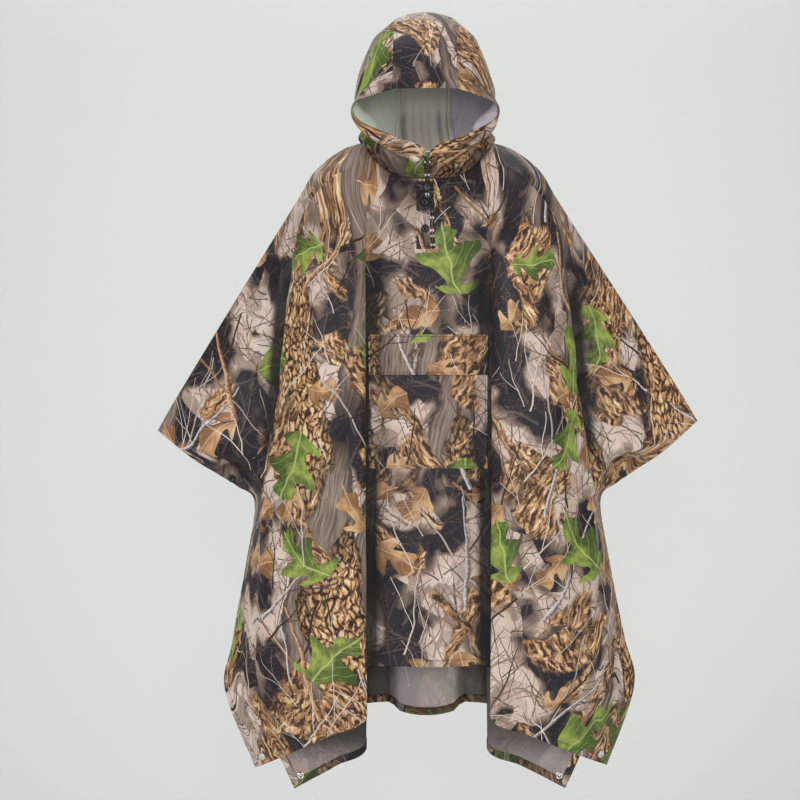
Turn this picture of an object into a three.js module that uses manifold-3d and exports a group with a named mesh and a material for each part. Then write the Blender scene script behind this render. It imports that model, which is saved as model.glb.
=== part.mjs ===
// Hooded rain poncho, worn shape with no wearer. Millimetres, +Z up, the front faces -Y.
// The origin lies on the middle plane at the height where it rests on the shoulders.
import * as THREE from 'three';
import { mergeVertices } from 'three/addons/utils/BufferGeometryUtils.js';
import Module from 'manifold-3d';

const wasm = await Module();
wasm.setup();

// Cloth and trim sizes
const CLOTH = 1.6;
const HOOD_CLOTH = 1.4;
const SEAM_GAP = 0.3;
const NECK_HALF_WIDTH = 124;
const NECK_FRONT = 88;
const NECK_BACK = 80;
const NECK_FRONT_Z = -35;
const NECK_SIDE_Z = 42;
const NECK_BACK_Z = 34;
const SLEEVE_TILT = 9;
const POCKET = { halfWidth: 110, top: -325, flapBottom: -400, bottom: -573 };
const PLACKET = { left: -22, right: 10, top: -40, bottom: -167 };
const SNAP_RADIUS = 7.3;
const SNAP_HEIGHT = 3.4;
const SNAP_PLACE = { x: 371, z: -591, depth: 3, flat: 20, fade: 52, play: 0.3 };
const GROMMET = { outer: 7, inner: 3.2, tube: 4.2, hole: 4.6, flange: 1, play: 0.5 };
const CORD_DIAMETER = 3.6;
const CORD_SPACING = 4.7;
const LOCK = { width: 15, depth: 10, height: 14, slotWidth: 9.8, slotDepth: 4.8, x: -2, z: -54 };
const CASING = { down: 10, width: 2 };
const HEM_BAND = 15;
const VALLEY_DROP = 0.08;
const HEM_CLOTH = 0.9;
const FLUTE = { halfWidth: 70, soft: 14, forward: 26, drop: 22 };

// Stations across half a panel, from the middle plane to its edge:
// middle, valley of the fold, fold's lip, crown of the column, side fold, its valley, sleeve, edge
const FRONT_SEGMENTS = [5, 2, 3, 3, 2, 2, 3];
const BACK_SEGMENTS = [5, 2, 2, 2, 2, 2, 2];

// One row of the table is one line across the panel. z: at the middle, at the lip, at the edge.
// x, y: at the eight stations. steps: how many mesh rows lead to the next line.
const FRONT_LINES = [
  { z: [-35, -20, 42], x: [0, 50, 66, 84, 98, 106, 112, 118], y: [-88, -80, -73, -62, -49, -39, -28, 0], steps: 2 },
  { z: [-75, -58, 28], x: [0, 78, 90, 108, 128, 138, 150, 163], y: [-99, -98, -96, -88, -76, -68, -48, 0], steps: 2 },
  { z: [-115, -90, -10], x: [0, 112, 112, 140, 175, 182, 196, 212],
    y: [-104, -106, -112, -110, -92, -84, -58, 0], steps: 2 },
  { z: [-160, -140, -57], x: [0, 130, 116, 158, 212, 206, 222, 241],
    y: [-107, -112, -138, -142, -108, -88, -56, 0], steps: 2 },
  { z: [-230, -208, -110], x: [0, 133, 116, 175, 238, 226, 248, 274],
    y: [-109, -116, -158, -168, -118, -88, -52, 0], steps: 2 },
  { z: [-320, -300, -200], x: [0, 135, 116, 188, 256, 242, 284, 331],
    y: [-111, -118, -166, -186, -124, -92, -54, 0], steps: 3 },
  { z: [-420, -402, -318], x: [0, 136, 116, 194, 268, 252, 326, 405],
    y: [-112, -120, -168, -192, -128, -94, -60, 0], steps: 3 },
  { z: [-520, -506, -437], x: [0, 136, 116, 198, 282, 268, 366, 478],
    y: [-113, -121, -168, -194, -128, -96, -66, -4], steps: 2 },
  { z: [-575, -562, -495], x: [0, 136, 116, 200, 290, 278, 388, 512],
    y: [-113, -121, -168, -194, -126, -96, -72, -4], steps: 2, corner: true },
  { z: [-615, -605, -548], x: [0, 136, 116, 200, 296, 286, 372, 445],
    y: [-114, -121, -168, -193, -120, -100, -64, -44], steps: 2 },
  { z: [-640, -632, -582], x: [0, 136, 116, 200, 300, 296, 362, 398],
    y: [-114, -121, -168, -193, -116, -98, -14, -7], steps: 1 },
  { z: [-664, -658, -607], x: [0, 136, 116, 200, 302, 304, 341, 360],
    y: [-114, -121, -168, -192, -114, -96, -12, -3.4], steps: 2 },
  { z: [-692, -688, -638], x: [0, 136, 116, 200, 300, 310, 320, 328],
    y: [-115, -121, -168, -190, -116, -84, -34, -8], steps: 3 },
  { z: [-760, -768, -748], x: [0, 136, 115, 200, 292, 318, 334, 342],
    y: [-116, -122, -166, -186, -136, -100, -66, -30], steps: 3 },
  { z: [-830, -870, -895], x: [0, 136, 115, 196, 286, 318, 344, 368],
    y: [-117, -124, -164, -178, -136, -112, -82, -52], steps: 2 },
  { z: [-885, -945, -985], x: [0, 136, 114, 194, 288, 324, 354, 383],
    y: [-118, -125, -162, -172, -136, -116, -90, -62], steps: 3 },
  { z: [-940, -1028, -1132], x: [0, 136, 113, 186, 250, 282, 308, 329],
    y: [-118, -126, -160, -150, -118, -100, -80, -60], steps: 0 },
];

const BACK_LINES = [
  { z: [34, 36, 42], x: [0, 50, 66, 84, 98, 106, 112, 118], y: [80, 72, 66, 56, 45, 35, 25, 0], steps: 2 },
  { z: [5, 8, 28], x: [0, 78, 90, 108, 128, 138, 150, 163], y: [100, 98, 96, 88, 74, 66, 46, 0], steps: 2 },
  { z: [-40, -34, -10], x: [0, 112, 114, 140, 172, 184, 198, 212], y: [116, 112, 108, 102, 88, 80, 56, 0], steps: 2 },
  { z: [-95, -88, -57], x: [0, 126, 118, 160, 202, 208, 224, 241], y: [128, 120, 112, 106, 92, 84, 58, 0], steps: 2 },
  { z: [-160, -148, -110], x: [0, 133, 118, 178, 228, 228, 250, 274],
    y: [138, 128, 110, 108, 94, 84, 56, 0], steps: 2 },
  { z: [-250, -238, -200], x: [0, 135, 118, 190, 250, 248, 288, 331],
    y: [148, 136, 112, 112, 96, 86, 60, 0], steps: 2 },
  { z: [-365, -352, -318], x: [0, 136, 118, 196, 266, 260, 330, 405],
    y: [154, 142, 114, 116, 98, 88, 64, 0], steps: 2 },
  { z: [-475, -465, -437], x: [0, 136, 118, 200, 282, 276, 370, 478],
    y: [158, 146, 116, 118, 100, 90, 68, 4], steps: 2 },
  { z: [-540, -530, -495], x: [0, 136, 118, 202, 292, 288, 392, 512],
    y: [160, 148, 116, 118, 100, 92, 74, 4], steps: 2, corner: true },
  { z: [-590, -582, -548], x: [0, 136, 118, 202, 298, 296, 372, 445],
    y: [161, 149, 116, 118, 102, 94, 62, 44], steps: 2 },
  { z: [-628, -621, -582], x: [0, 136, 118, 201, 299, 302, 362, 398],
    y: [161, 149, 116, 118, 103, 92, 14, 7], steps: 1 },
  { z: [-656, -650, -607], x: [0, 136, 118, 200, 300, 308, 341, 360],
    y: [162, 150, 116, 118, 104, 90, 12, 3.4], steps: 2 },
  { z: [-690, -684, -638], x: [0, 136, 118, 200, 290, 308, 319, 328],
    y: [163, 151, 116, 118, 106, 84, 34, 8], steps: 2 },
  { z: [-790, -788, -748], x: [0, 136, 118, 200, 284, 306, 322, 336],
    y: [165, 152, 117, 119, 110, 92, 62, 30], steps: 2 },
  { z: [-890, -910, -905], x: [0, 136, 118, 198, 272, 300, 322, 344],
    y: [167, 153, 118, 120, 112, 102, 84, 62], steps: 2 },
  { z: [-975, -1020, -1045], x: [0, 136, 119, 190, 250, 280, 306, 328],
    y: [169, 154, 120, 120, 114, 108, 101, 93], steps: 2 },
  { z: [-1043, -1130, -1202], x: [0, 136, 120, 176, 212, 234, 250, 264],
    y: [170, 155, 122, 119, 114, 110, 107, 104], steps: 0 },
];

// Hood side: lines from the crown seam down to the neck seam, from the free rim at the front to the nape.
// Each point is [half width, y, z]; turn is where the line ends on the neck seam, in degrees from the front.
const HOOD_LINES = [
  { at: 0, turn: 1.5,
    points: [[60, -147, 124], [95, -138, 114], [131, -118, 101], [125, -106, 72], [64, -114, 42], [6, -119, 16]] },
  { at: 0.125, turn: 9,
    points: [[60, -128, 159], [98, -116, 142], [133, -94, 102], [124, -84, 58], [84, -97, 26], [24, -111, -7]] },
  { at: 0.3, turn: 32,
    points: [[59, -92, 217], [102, -82, 184], [130, -58, 116], [94, -52, 68], [90, -62, 34], [78, -79, 2]] },
  { at: 0.5, turn: 66,
    points: [[58, -30, 269], [102, -28, 222], [133, -18, 122], [102, -22, 84], [113, -31, 60], [119.5, -38, 40]] },
  { at: 0.7, turn: 105,
    points: [[56, 60, 262], [101, 58, 210], [126, 48, 124], [110, 38, 88], [119, 29, 68], [124, 24, 55]] },
  { at: 0.85, turn: 135,
    points: [[53, 112, 208], [87, 98, 168], [106, 86, 120], [102, 74, 80], [96, 66, 60], [93, 60, 48]] },
  { at: 1, turn: 155,
    points: [[50, 112, 112], [50.5, 107, 98], [51, 100, 84], [51.5, 92, 70], [52, 84, 58], [52.5, 78, 46]] },
];
const HOOD_STEPS = 16;
const HOOD_RAISE = 1.6;
const HOOD_DOWN_STEPS = 12;
const CROWN_RISE = { forward: 5, up: 15, rows: 4 };
const HOOD_LEAN = { aside: -5.5, from: 30, to: 90 };
const HEM_LEAN = { aside: 6, from: -800, to: -1150, inner: 120, outer: 220 };
const GATHERS = { count: 9, depth: 4 };

const clamp01 = (v) => Math.min(1, Math.max(0, v));
const smooth = (v) => clamp01(v) ** 2 * (3 - 2 * clamp01(v));

// The hood leans a little to one side, more with height; the lower corners lean to the other.
function lean(grid) {
  const { aside, from, to } = HOOD_LEAN;
  return grid.map((row) => row.map(([x, y, z]) => [x + aside * smooth((z - from) / (to - from)), y, z]));
}

function leanHem(grid) {
  const { aside, from, to, inner, outer } = HEM_LEAN;
  grid.forEach((row) => row.forEach((p) => {
    p[0] += aside * smooth((p[2] - from) / (to - from)) * smooth((Math.abs(p[0]) - inner) / (outer - inner));
  }));
}

// Smooth curve through evenly numbered stations; sharp is the number of one that stays a corner.
function through(values, t, sharp = -1) {
  const last = values.length - 1;
  const i = Math.min(last - 1, Math.max(0, Math.floor(t)));
  const f = t - i;
  const b = values[i];
  const c = values[i + 1];
  const a = i === sharp ? 2 * b - c : values[Math.max(0, i - 1)];
  const d = i + 1 === sharp ? 2 * c - b : values[Math.min(last, i + 2)];
  return b + 0.5 * f * (c - a + f * (2 * a - 5 * b + 4 * c - d + f * (3 * (b - c) + d - a)));
}

// The same, through stations that are unevenly spaced.
function throughAt(places, values, t) {
  let i = 0;
  while (i < places.length - 2 && t > places[i + 1]) i += 1;
  return through(values, i + (t - places[i]) / (places[i + 1] - places[i]));
}

// Half panel: an array of rows, each an array of [x, y, z] from the middle to the edge.
function halfPanel(lines, segments) {
  const rows = [];
  const columns = [];
  segments.forEach((count, s) => {
    for (let k = 0; k < count; k += 1) columns.push(s + k / count);
  });
  columns.push(segments.length);
  const zStations = lines.map((line) => {
    const [middle, lip, edge] = line.z;
    return line.x.map((x, s) => {
      if (s === 0) return middle;
      if (s === 1) return middle + (lip - middle) * VALLEY_DROP;
      return lip + (edge - lip) * (x - line.x[2]) / (line.x[7] - line.x[2]);
    });
  });
  const tip = lines.findIndex((line) => line.corner);
  lines.forEach((line, r) => {
    const count = Math.max(1, line.steps);
    for (let k = 0; k < count; k += 1) {
      const t = r + k / count;
      const at = (pick) => line.x.map((_, s) => through(lines.map((l, i) => pick(l, i)[s]), t, tip));
      const xs = at((l) => l.x);
      const ys = at((l) => l.y);
      const zs = at((l, i) => zStations[i]);
      rows.push(columns.map((u) => [through(xs, u), through(ys, u), through(zs, u)]));
    }
  });
  return rows;
}

// Whole panel from its half: mirrored, then each sleeve's own tilt is added.
function wholePanel(half) {
  return half.map((row) => {
    const left = row.slice(1).reverse().map(([x, y, z]) => [-x, y, z]);
    return [...left, ...row].map(([x, y, z]) => {
      const out = clamp01((Math.abs(x) - 250) / 260);
      return [x, y, z + Math.sign(x) * SLEEVE_TILT * out];
    });
  });
}

const toVector = ([x, y, z]) => new THREE.Vector3(x, y, z);

function gridNormals(points) {
  const rows = points.length;
  const cols = points[0].length;
  return points.map((row, r) => row.map((_, c) => {
    const down = new THREE.Vector3().subVectors(points[Math.min(rows - 1, r + 1)][c], points[Math.max(0, r - 1)][c]);
    const across = new THREE.Vector3().subVectors(points[r][Math.min(cols - 1, c + 1)], points[r][Math.max(0, c - 1)]);
    return down.cross(across).normalize();
  }));
}

// The cuff snap draws the front and the back together and holds them flat around it.
function pinch(grid, sign) {
  grid.forEach((row) => row.forEach((p) => {
    const z = SNAP_PLACE.z + Math.sign(p[0]) * SLEEVE_TILT / 2;
    const away = Math.hypot(Math.abs(p[0]) - SNAP_PLACE.x, p[2] - z);
    const share = clamp01((SNAP_PLACE.fade - away) / (SNAP_PLACE.fade - SNAP_PLACE.flat));
    const hold = share * share * (3 - 2 * share);
    p[1] += (sign * SNAP_PLACE.depth - p[1]) * hold;
  }));
}

// Closed wall from a grid of points: outer face, inner face and the edges around.
// outward is +1 where down x across points out of the cloth's printed side.
function wall(grid, thickness, outward, lift = 0, keep = (v) => v, mirrored = false) {
  const points = grid.map((row) => row.map(toVector));
  const normals = gridNormals(points);
  const rows = points.length;
  const cols = points[0].length;
  const position = [];
  const layer = (distance) => points.forEach((row, r) => row.forEach((p, c) => {
    const v = keep(p.clone().addScaledVector(normals[r][c], outward * distance));
    position.push(v.x, v.y, v.z);
  }));
  layer(lift + 0);
  layer(lift - thickness);
  const index = [];
  const triangle = (a, b, c) => (outward > 0 ? index.push(a, b, c) : index.push(a, c, b));
  const quad = (a, b, c, d, other = false) => {
    triangle(a, b, other ? d : c);
    triangle(other ? b : a, c, d);
  };
  const outer = (r, c) => r * cols + c;
  const inner = (r, c) => rows * cols + r * cols + c;
  for (let r = 0; r < rows - 1; r += 1) {
    for (let c = 0; c < cols - 1; c += 1) {
      const other = mirrored && c < (cols - 1) / 2;
      quad(outer(r, c), outer(r + 1, c), outer(r + 1, c + 1), outer(r, c + 1), other);
      quad(inner(r, c), inner(r, c + 1), inner(r + 1, c + 1), inner(r + 1, c), other);
    }
  }
  for (let c = 0; c < cols - 1; c += 1) {
    quad(outer(0, c), outer(0, c + 1), inner(0, c + 1), inner(0, c));
    quad(outer(rows - 1, c), inner(rows - 1, c), inner(rows - 1, c + 1), outer(rows - 1, c + 1));
  }
  for (let r = 0; r < rows - 1; r += 1) {
    quad(outer(r, 0), inner(r, 0), inner(r + 1, 0), outer(r + 1, 0));
    quad(outer(r, cols - 1), outer(r + 1, cols - 1), inner(r + 1, cols - 1), inner(r, cols - 1));
  }
  const geometry = new THREE.BufferGeometry();
  geometry.setAttribute('position', new THREE.Float32BufferAttribute(position, 3));
  geometry.setIndex(index);
  return geometry;
}

function toManifold(geometry) {
  const bare = geometry.clone();
  bare.deleteAttribute('normal');
  bare.deleteAttribute('uv');
  const merged = mergeVertices(bare, 1e-4);
  return new wasm.Manifold(new wasm.Mesh({
    numProp: 3,
    vertProperties: new Float32Array(merged.attributes.position.array),
    triVerts: new Uint32Array(merged.index.array),
  }));
}

function fromManifold(solid) {
  const mesh = solid.getMesh();
  const geometry = new THREE.BufferGeometry();
  geometry.setAttribute('position', new THREE.Float32BufferAttribute(Array.from(mesh.vertProperties), 3));
  geometry.setIndex(Array.from(mesh.triVerts));
  return geometry;
}

// Point and outward direction on a panel at a given x and z. from, to: columns searched.
function onPanel(grid, x, z, outward, from = 0, to = grid[0].length - 1) {
  for (let r = 0; r < grid.length - 1; r += 1) {
    for (let c = from; c < to; c += 1) {
      const corners = [grid[r][c], grid[r][c + 1], grid[r + 1][c + 1], grid[r + 1][c]];
      for (const [i, j, k] of [[0, 1, 2], [0, 2, 3]]) {
        const [a, b, d] = [corners[i], corners[j], corners[k]].map(toVector);
        const area = (b.x - a.x) * (d.z - a.z) - (d.x - a.x) * (b.z - a.z);
        const u = ((x - a.x) * (d.z - a.z) - (d.x - a.x) * (z - a.z)) / area;
        const v = ((b.x - a.x) * (z - a.z) - (x - a.x) * (b.z - a.z)) / area;
        if (u >= -1e-6 && v >= -1e-6 && u + v <= 1 + 1e-6) {
          const point = a.clone().addScaledVector(b.clone().sub(a), u).addScaledVector(d.clone().sub(a), v);
          const normal = b.clone().sub(a).cross(d.clone().sub(a)).normalize();
          if (normal.y * outward > 0) normal.negate();
          return { point, normal };
        }
      }
    }
  }
  throw new Error(`no cloth at ${x}, ${z}`);
}

// A flat piece sewn on the middle of the front: a grid of the panel's own points moved out.
function sewnOn(grid, left, right, top, bottom, across, down, lift) {
  const middle = (grid[0].length - 1) / 2;
  const rows = [];
  for (let r = 0; r <= down; r += 1) {
    const row = [];
    for (let c = 0; c <= across; c += 1) {
      const x = left + (right - left) * c / across;
      const z = top + (bottom - top) * r / down;
      const { point } = onPanel(grid, x, z, 1, middle - FRONT_SEGMENTS[0], middle + FRONT_SEGMENTS[0]);
      row.push([point.x, point.y - lift, point.z]);
    }
    rows.push(row);
  }
  return rows;
}

// Turned piece, its base on the cloth and its top along the direction given.
function turned(profile, segments, point, direction) {
  const geometry = new THREE.LatheGeometry(profile.map(([x, y]) => new THREE.Vector2(x, y)), segments);
  const turn = new THREE.Quaternion().setFromUnitVectors(new THREE.Vector3(0, 1, 0), direction);
  geometry.applyQuaternion(turn);
  geometry.translate(point.x, point.y, point.z);
  return geometry;
}

const SNAP_PROFILE = [
  [0, 0], [SNAP_RADIUS, 0], [SNAP_RADIUS, 1.2], [SNAP_RADIUS - 1, SNAP_HEIGHT - 0.7],
  [SNAP_RADIUS - 3, SNAP_HEIGHT], [0, SNAP_HEIGHT],
];
const GROMMET_PROFILE = (() => {
  const half = CLOTH / 2 + GROMMET.play;
  const out = half + GROMMET.flange;
  return [
    [GROMMET.inner, -out], [GROMMET.outer, -out], [GROMMET.outer, -half], [GROMMET.tube, -half],
    [GROMMET.tube, half], [GROMMET.outer, half], [GROMMET.outer, out], [GROMMET.inner, out], [GROMMET.inner, -out],
  ];
})();

function tube(points, diameter) {
  const curve = new THREE.CatmullRomCurve3(points.map(toVector), false, 'centripetal');
  const shape = new THREE.Shape();
  const sides = 8;
  for (let k = 0; k < sides; k += 1) {
    const angle = 2 * Math.PI * k / sides;
    const x = Math.cos(angle) * diameter / 2;
    const y = Math.sin(angle) * diameter / 2;
    if (k === 0) shape.moveTo(x, y);
    else shape.lineTo(x, y);
  }
  shape.closePath();
  return new THREE.ExtrudeGeometry(shape, { steps: 24, extrudePath: curve, bevelEnabled: false });
}

// Neck seam: angle in degrees from the middle of the front, side -1 or +1.
function neckPoint(degrees, side) {
  const angle = degrees * Math.PI / 180;
  const x = NECK_HALF_WIDTH * Math.sin(angle);
  const depth = angle < Math.PI / 2 ? NECK_FRONT : NECK_BACK;
  const low = angle < Math.PI / 2 ? NECK_FRONT_Z : NECK_BACK_Z;
  const z = low + (NECK_SIDE_Z - low) * (x / NECK_HALF_WIDTH) ** 3;
  return [side * x, -depth * Math.cos(angle), z];
}

// The panels' first rows run along the neck seam.
function alongNeck(grid, front) {
  const middle = (grid[0].length - 1) / 2;
  grid[0] = grid[0].map(([x], c) => {
    const share = Math.abs(c - middle) / middle;
    const degrees = front ? 90 * share : 180 - 90 * share;
    return neckPoint(degrees, Math.sign(x) || 1);
  });
}

function hoodSide(side) {
  const places = HOOD_LINES.map((line) => line.at);
  const lines = HOOD_LINES.map((line) => {
    const [x, y, z] = neckPoint(line.turn, 1);
    return [...line.points, [x, y, z + HOOD_RAISE]];
  });
  const rows = [];
  for (let d = 0; d <= HOOD_DOWN_STEPS; d += 1) {
    const t = d / HOOD_DOWN_STEPS * 6;
    const row = [];
    for (let k = 0; k <= HOOD_STEPS; k += 1) {
      const a = k / HOOD_STEPS;
      if (d === HOOD_DOWN_STEPS) {
        const [x, y, z] = neckPoint(throughAt(places, HOOD_LINES.map((line) => line.turn), a), side);
        row.push([x, y, z + HOOD_RAISE]);
      } else {
        const point = [0, 1, 2].map((axis) => throughAt(places, lines.map((line) => through(line.map((p) => p[axis]), t)), a));
        const gather = GATHERS.depth * Math.sin(a * Math.PI * 2 * GATHERS.count) * clamp01((t - 3.4) / 1.4) * clamp01((6 - t) / 0.6);
        const fade = clamp01(a * 6) * clamp01((0.85 - a) * 5);
        row.push([side * (point[0] + gather * fade * Math.sin(a * 3)), point[1] - gather * fade * Math.cos(a * 3), point[2]]);
      }
    }
    rows.push(row);
  }
  return rows;
}

// The crown strip runs between the two side pieces: its edges are their edges, a seam's gap apart.
function hoodCrown(side) {
  const last = HOOD_STEPS;
  const edge = [...side[0], ...side.slice(1).map((row) => row[last])];
  return edge.map(([x, y, z], i) => {
    const half = Math.abs(x) - SEAM_GAP;
    const s = i / (edge.length - 1);
    const row = [];
    for (let c = -CROWN_RISE.rows; c <= CROWN_RISE.rows; c += 1) {
      const u = c / CROWN_RISE.rows;
      const bow = 1 - u * u;
      const forward = CROWN_RISE.forward * Math.cos(Math.PI * Math.min(1, s * 1.6));
      row.push([half * u, y - forward * bow, z + CROWN_RISE.up * bow * Math.sin(Math.PI * Math.min(1, s * 1.25))]);
    }
    return row;
  });
}

function build() {
  const group = new THREE.Group();
  group.name = 'rain_poncho';
  const add = (name, geometry, color, roughness, metalness) => {
    const mesh = new THREE.Mesh(geometry, new THREE.MeshStandardMaterial({ color, roughness, metalness }));
    mesh.name = name;
    group.add(mesh);
  };
  const cloth = 0x7a6a5c;
  const black = 0x17161a;
  const steel = 0xd8d8da;

  const frontGrid = wholePanel(halfPanel(FRONT_LINES, FRONT_SEGMENTS));
  const backGrid = wholePanel(halfPanel(BACK_LINES, BACK_SEGMENTS));
  alongNeck(frontGrid, true);
  alongNeck(backGrid, false);
  const rowsBack = backGrid.length;
  backGrid.forEach((row, r) => row.forEach((p) => {
    const near = smooth((FLUTE.halfWidth - Math.abs(p[0])) / FLUTE.soft);
    const round = Math.sqrt(clamp01(1 - (p[0] / FLUTE.halfWidth) ** 2));
    const grown = near * clamp01((r / rowsBack - 0.5) * 2.2);
    p[1] -= FLUTE.forward * grown * (0.6 + 0.4 * round);
    p[2] -= FLUTE.drop * grown * round * clamp01((r / rowsBack - 0.8) * 5);
  }));

  leanHem(frontGrid);
  leanHem(backGrid);
  pinch(frontGrid, -1);
  pinch(backGrid, 1);
  const holdFront = (v) => v.setY(Math.min(v.y, -SEAM_GAP / 2));
  const holdBack = (v) => v.setY(Math.max(v.y, SEAM_GAP / 2));
  let front = toManifold(wall(frontGrid, CLOTH, 1, 0, holdFront, true));
  let back = toManifold(wall(backGrid, CLOTH, -1, 0, holdBack, true));

  const hemGrid = backGrid.slice(-2).map((row) => row.slice(1, -1));
  hemGrid[0] = hemGrid[1].map((p, c) => {
    const up = toVector(hemGrid[0][c]).sub(toVector(p)).normalize().multiplyScalar(HEM_BAND);
    return [p[0] + up.x, p[1] + up.y, p[2] + up.z];
  });
  let hem = toManifold(wall(hemGrid, HEM_CLOTH, -1, -CLOTH - SEAM_GAP, (v) => v, true));

  const middle = (frontGrid[0].length - 1) / 2;
  const corners = [
    { name: 'grommet_front_left', grid: frontGrid, x: -310, z: -1108, outward: 1 },
    { name: 'grommet_front_right', grid: frontGrid, x: 322, z: -1108, outward: 1 },
    { name: 'grommet_back_left', grid: backGrid, x: -245, z: -1180, outward: -1 },
    { name: 'grommet_back_right', grid: backGrid, x: 257, z: -1180, outward: -1 },
  ];
  corners.forEach(({ name, grid, x, z, outward }) => {
    const from = x < 0 ? 0 : grid[0].length - 6;
    const to = x < 0 ? 5 : grid[0].length - 1;
    const { point, normal } = onPanel(grid, x, z, outward, from, to);
    const centre = point.clone().addScaledVector(normal, -CLOTH / 2);
    add(name, turned(GROMMET_PROFILE, 12, centre, normal), steel, 0.25, 1);
    const drill = (radius) => {
      const round = new THREE.CylinderGeometry(radius, radius, 12, 16);
      round.applyQuaternion(new THREE.Quaternion().setFromUnitVectors(new THREE.Vector3(0, 1, 0), normal));
      round.translate(centre.x, centre.y, centre.z);
      return toManifold(round);
    };
    if (outward > 0) {
      front = front.subtract(drill(GROMMET.hole));
    } else {
      back = back.subtract(drill(GROMMET.hole));
      hem = hem.subtract(drill(GROMMET.outer + 1));
    }
  });
  add('front_panel', fromManifold(front), cloth, 0.6, 0);
  add('back_panel', fromManifold(back), cloth, 0.6, 0);
  add('back_hem', fromManifold(hem), cloth, 0.6, 0);

  const straightRight = hoodSide(1);
  const left = lean(hoodSide(-1));
  const right = lean(straightRight);
  const crown = lean(hoodCrown(straightRight));
  add('hood_left', wall(left, HOOD_CLOTH, -1), cloth, 0.6, 0);
  add('hood_right', wall(right, HOOD_CLOTH, 1), cloth, 0.6, 0);
  add('hood_crown', wall(crown, HOOD_CLOTH, 1), cloth, 0.6, 0);
  const band = (side) => side.slice(0, CASING.down + 1).map((row) => row.slice(0, CASING.width + 1));
  add('hood_casing_left', wall(band(left), HEM_CLOTH, -1, SEAM_GAP + HEM_CLOTH), cloth, 0.6, 0);
  add('hood_casing_right', wall(band(right), HEM_CLOTH, 1, SEAM_GAP + HEM_CLOTH), cloth, 0.6, 0);

  const lift = SEAM_GAP + HEM_CLOTH;
  const { halfWidth, top, flapBottom, bottom } = POCKET;
  const pocket = sewnOn(frontGrid, -halfWidth, halfWidth, top - 12, bottom, 8, 8, lift);
  add('chest_pocket', wall(pocket, HEM_CLOTH, 1), cloth, 0.6, 0);
  const flap = sewnOn(frontGrid, -halfWidth - 1, halfWidth + 1, top, flapBottom, 8, 4, 2 * lift);
  add('pocket_flap', wall(flap, HEM_CLOTH, 1), cloth, 0.6, 0);
  const placket = sewnOn(frontGrid, PLACKET.left, PLACKET.right, PLACKET.top, PLACKET.bottom, 4, 10, lift + SEAM_GAP);
  add('placket', wall(placket, HEM_CLOTH, 1), cloth, 0.6, 0);

  [['placket_snap_upper', -80], ['placket_snap_lower', -129]].forEach(([name, z]) => {
    const { point, normal } = onPanel(frontGrid, -6, z, 1, middle - FRONT_SEGMENTS[0], middle + FRONT_SEGMENTS[0]);
    point.addScaledVector(normal, lift + 2 * SEAM_GAP);
    add(name, turned(SNAP_PROFILE, 16, point, normal), black, 0.35, 0);
  });
  [['left', -1], ['right', 1]].forEach(([name, side]) => {
    const z = SNAP_PLACE.z + side * SLEEVE_TILT / 2;
    const cap = new THREE.Vector3(side * SNAP_PLACE.x, -SNAP_PLACE.depth - SNAP_PLACE.play, z);
    const socket = new THREE.Vector3(side * SNAP_PLACE.x, SNAP_PLACE.depth + SNAP_PLACE.play, z);
    add(`cuff_snap_cap_${name}`, turned(SNAP_PROFILE, 16, cap, new THREE.Vector3(0, -1, 0)), black, 0.35, 0);
    add(`cuff_snap_socket_${name}`, turned(SNAP_PROFILE, 16, socket, new THREE.Vector3(0, 1, 0)), black, 0.35, 0);
  });

  const cordY = -118;
  [['left', -1, left], ['right', 1, right]].forEach(([name, side, grid]) => {
    const exit = toVector(grid[CASING.down][1]);
    const along = exit.clone().sub(toVector(grid[CASING.down - 1][1])).normalize();
    const out = gridNormals(grid.map((row) => row.map(toVector)))[CASING.down][1].multiplyScalar(side);
    exit.addScaledVector(out, CORD_DIAMETER / 2 + SEAM_GAP).addScaledVector(along, SEAM_GAP);
    const x = LOCK.x + side * CORD_SPACING / 2;
    const path = [
      exit.toArray(), exit.clone().addScaledVector(along, 7).toArray(), [x + side * 2, -123, -14],
      [x, cordY, LOCK.z + 16], [x, cordY, LOCK.z], [x, cordY, LOCK.z - 12],
      [x + 9, cordY, -84], [x + 9, cordY, -128], [x + 11, cordY - 1, -166],
    ];
    add(`drawcord_${name}`, tube(path, CORD_DIAMETER), black, 0.8, 0);
  });
  const lock = new THREE.Shape();
  lock.absellipse(0, 0, LOCK.width / 2, LOCK.depth / 2, 0, Math.PI * 2, false, 0);
  const slot = new THREE.Path();
  slot.moveTo(-LOCK.slotWidth / 2, -LOCK.slotDepth / 2);
  slot.lineTo(LOCK.slotWidth / 2, -LOCK.slotDepth / 2);
  slot.lineTo(LOCK.slotWidth / 2, LOCK.slotDepth / 2);
  slot.lineTo(-LOCK.slotWidth / 2, LOCK.slotDepth / 2);
  slot.closePath();
  lock.holes.push(slot);
  const lockBody = new THREE.ExtrudeGeometry(lock, { depth: LOCK.height, bevelEnabled: false, curveSegments: 8 });
  lockBody.translate(LOCK.x, cordY, LOCK.z - LOCK.height / 2);
  add('cord_lock', lockBody, black, 0.4, 0);

  return group;
}

export default build();
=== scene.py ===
# %% [markdown]
# # A hooded rain poncho, filled out as worn
# The real thing is two wide sheets of thin coated polyester, joined over the shoulders, with a
# hood of three pieces set into the neck. With nobody in it the cloth still stands in its worn
# shape here: deep folds run down beside a flat middle, and the sleeves are only the sheets' own
# outer parts, held together by a snap below each wrist.

# %% Setup
import math

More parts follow.
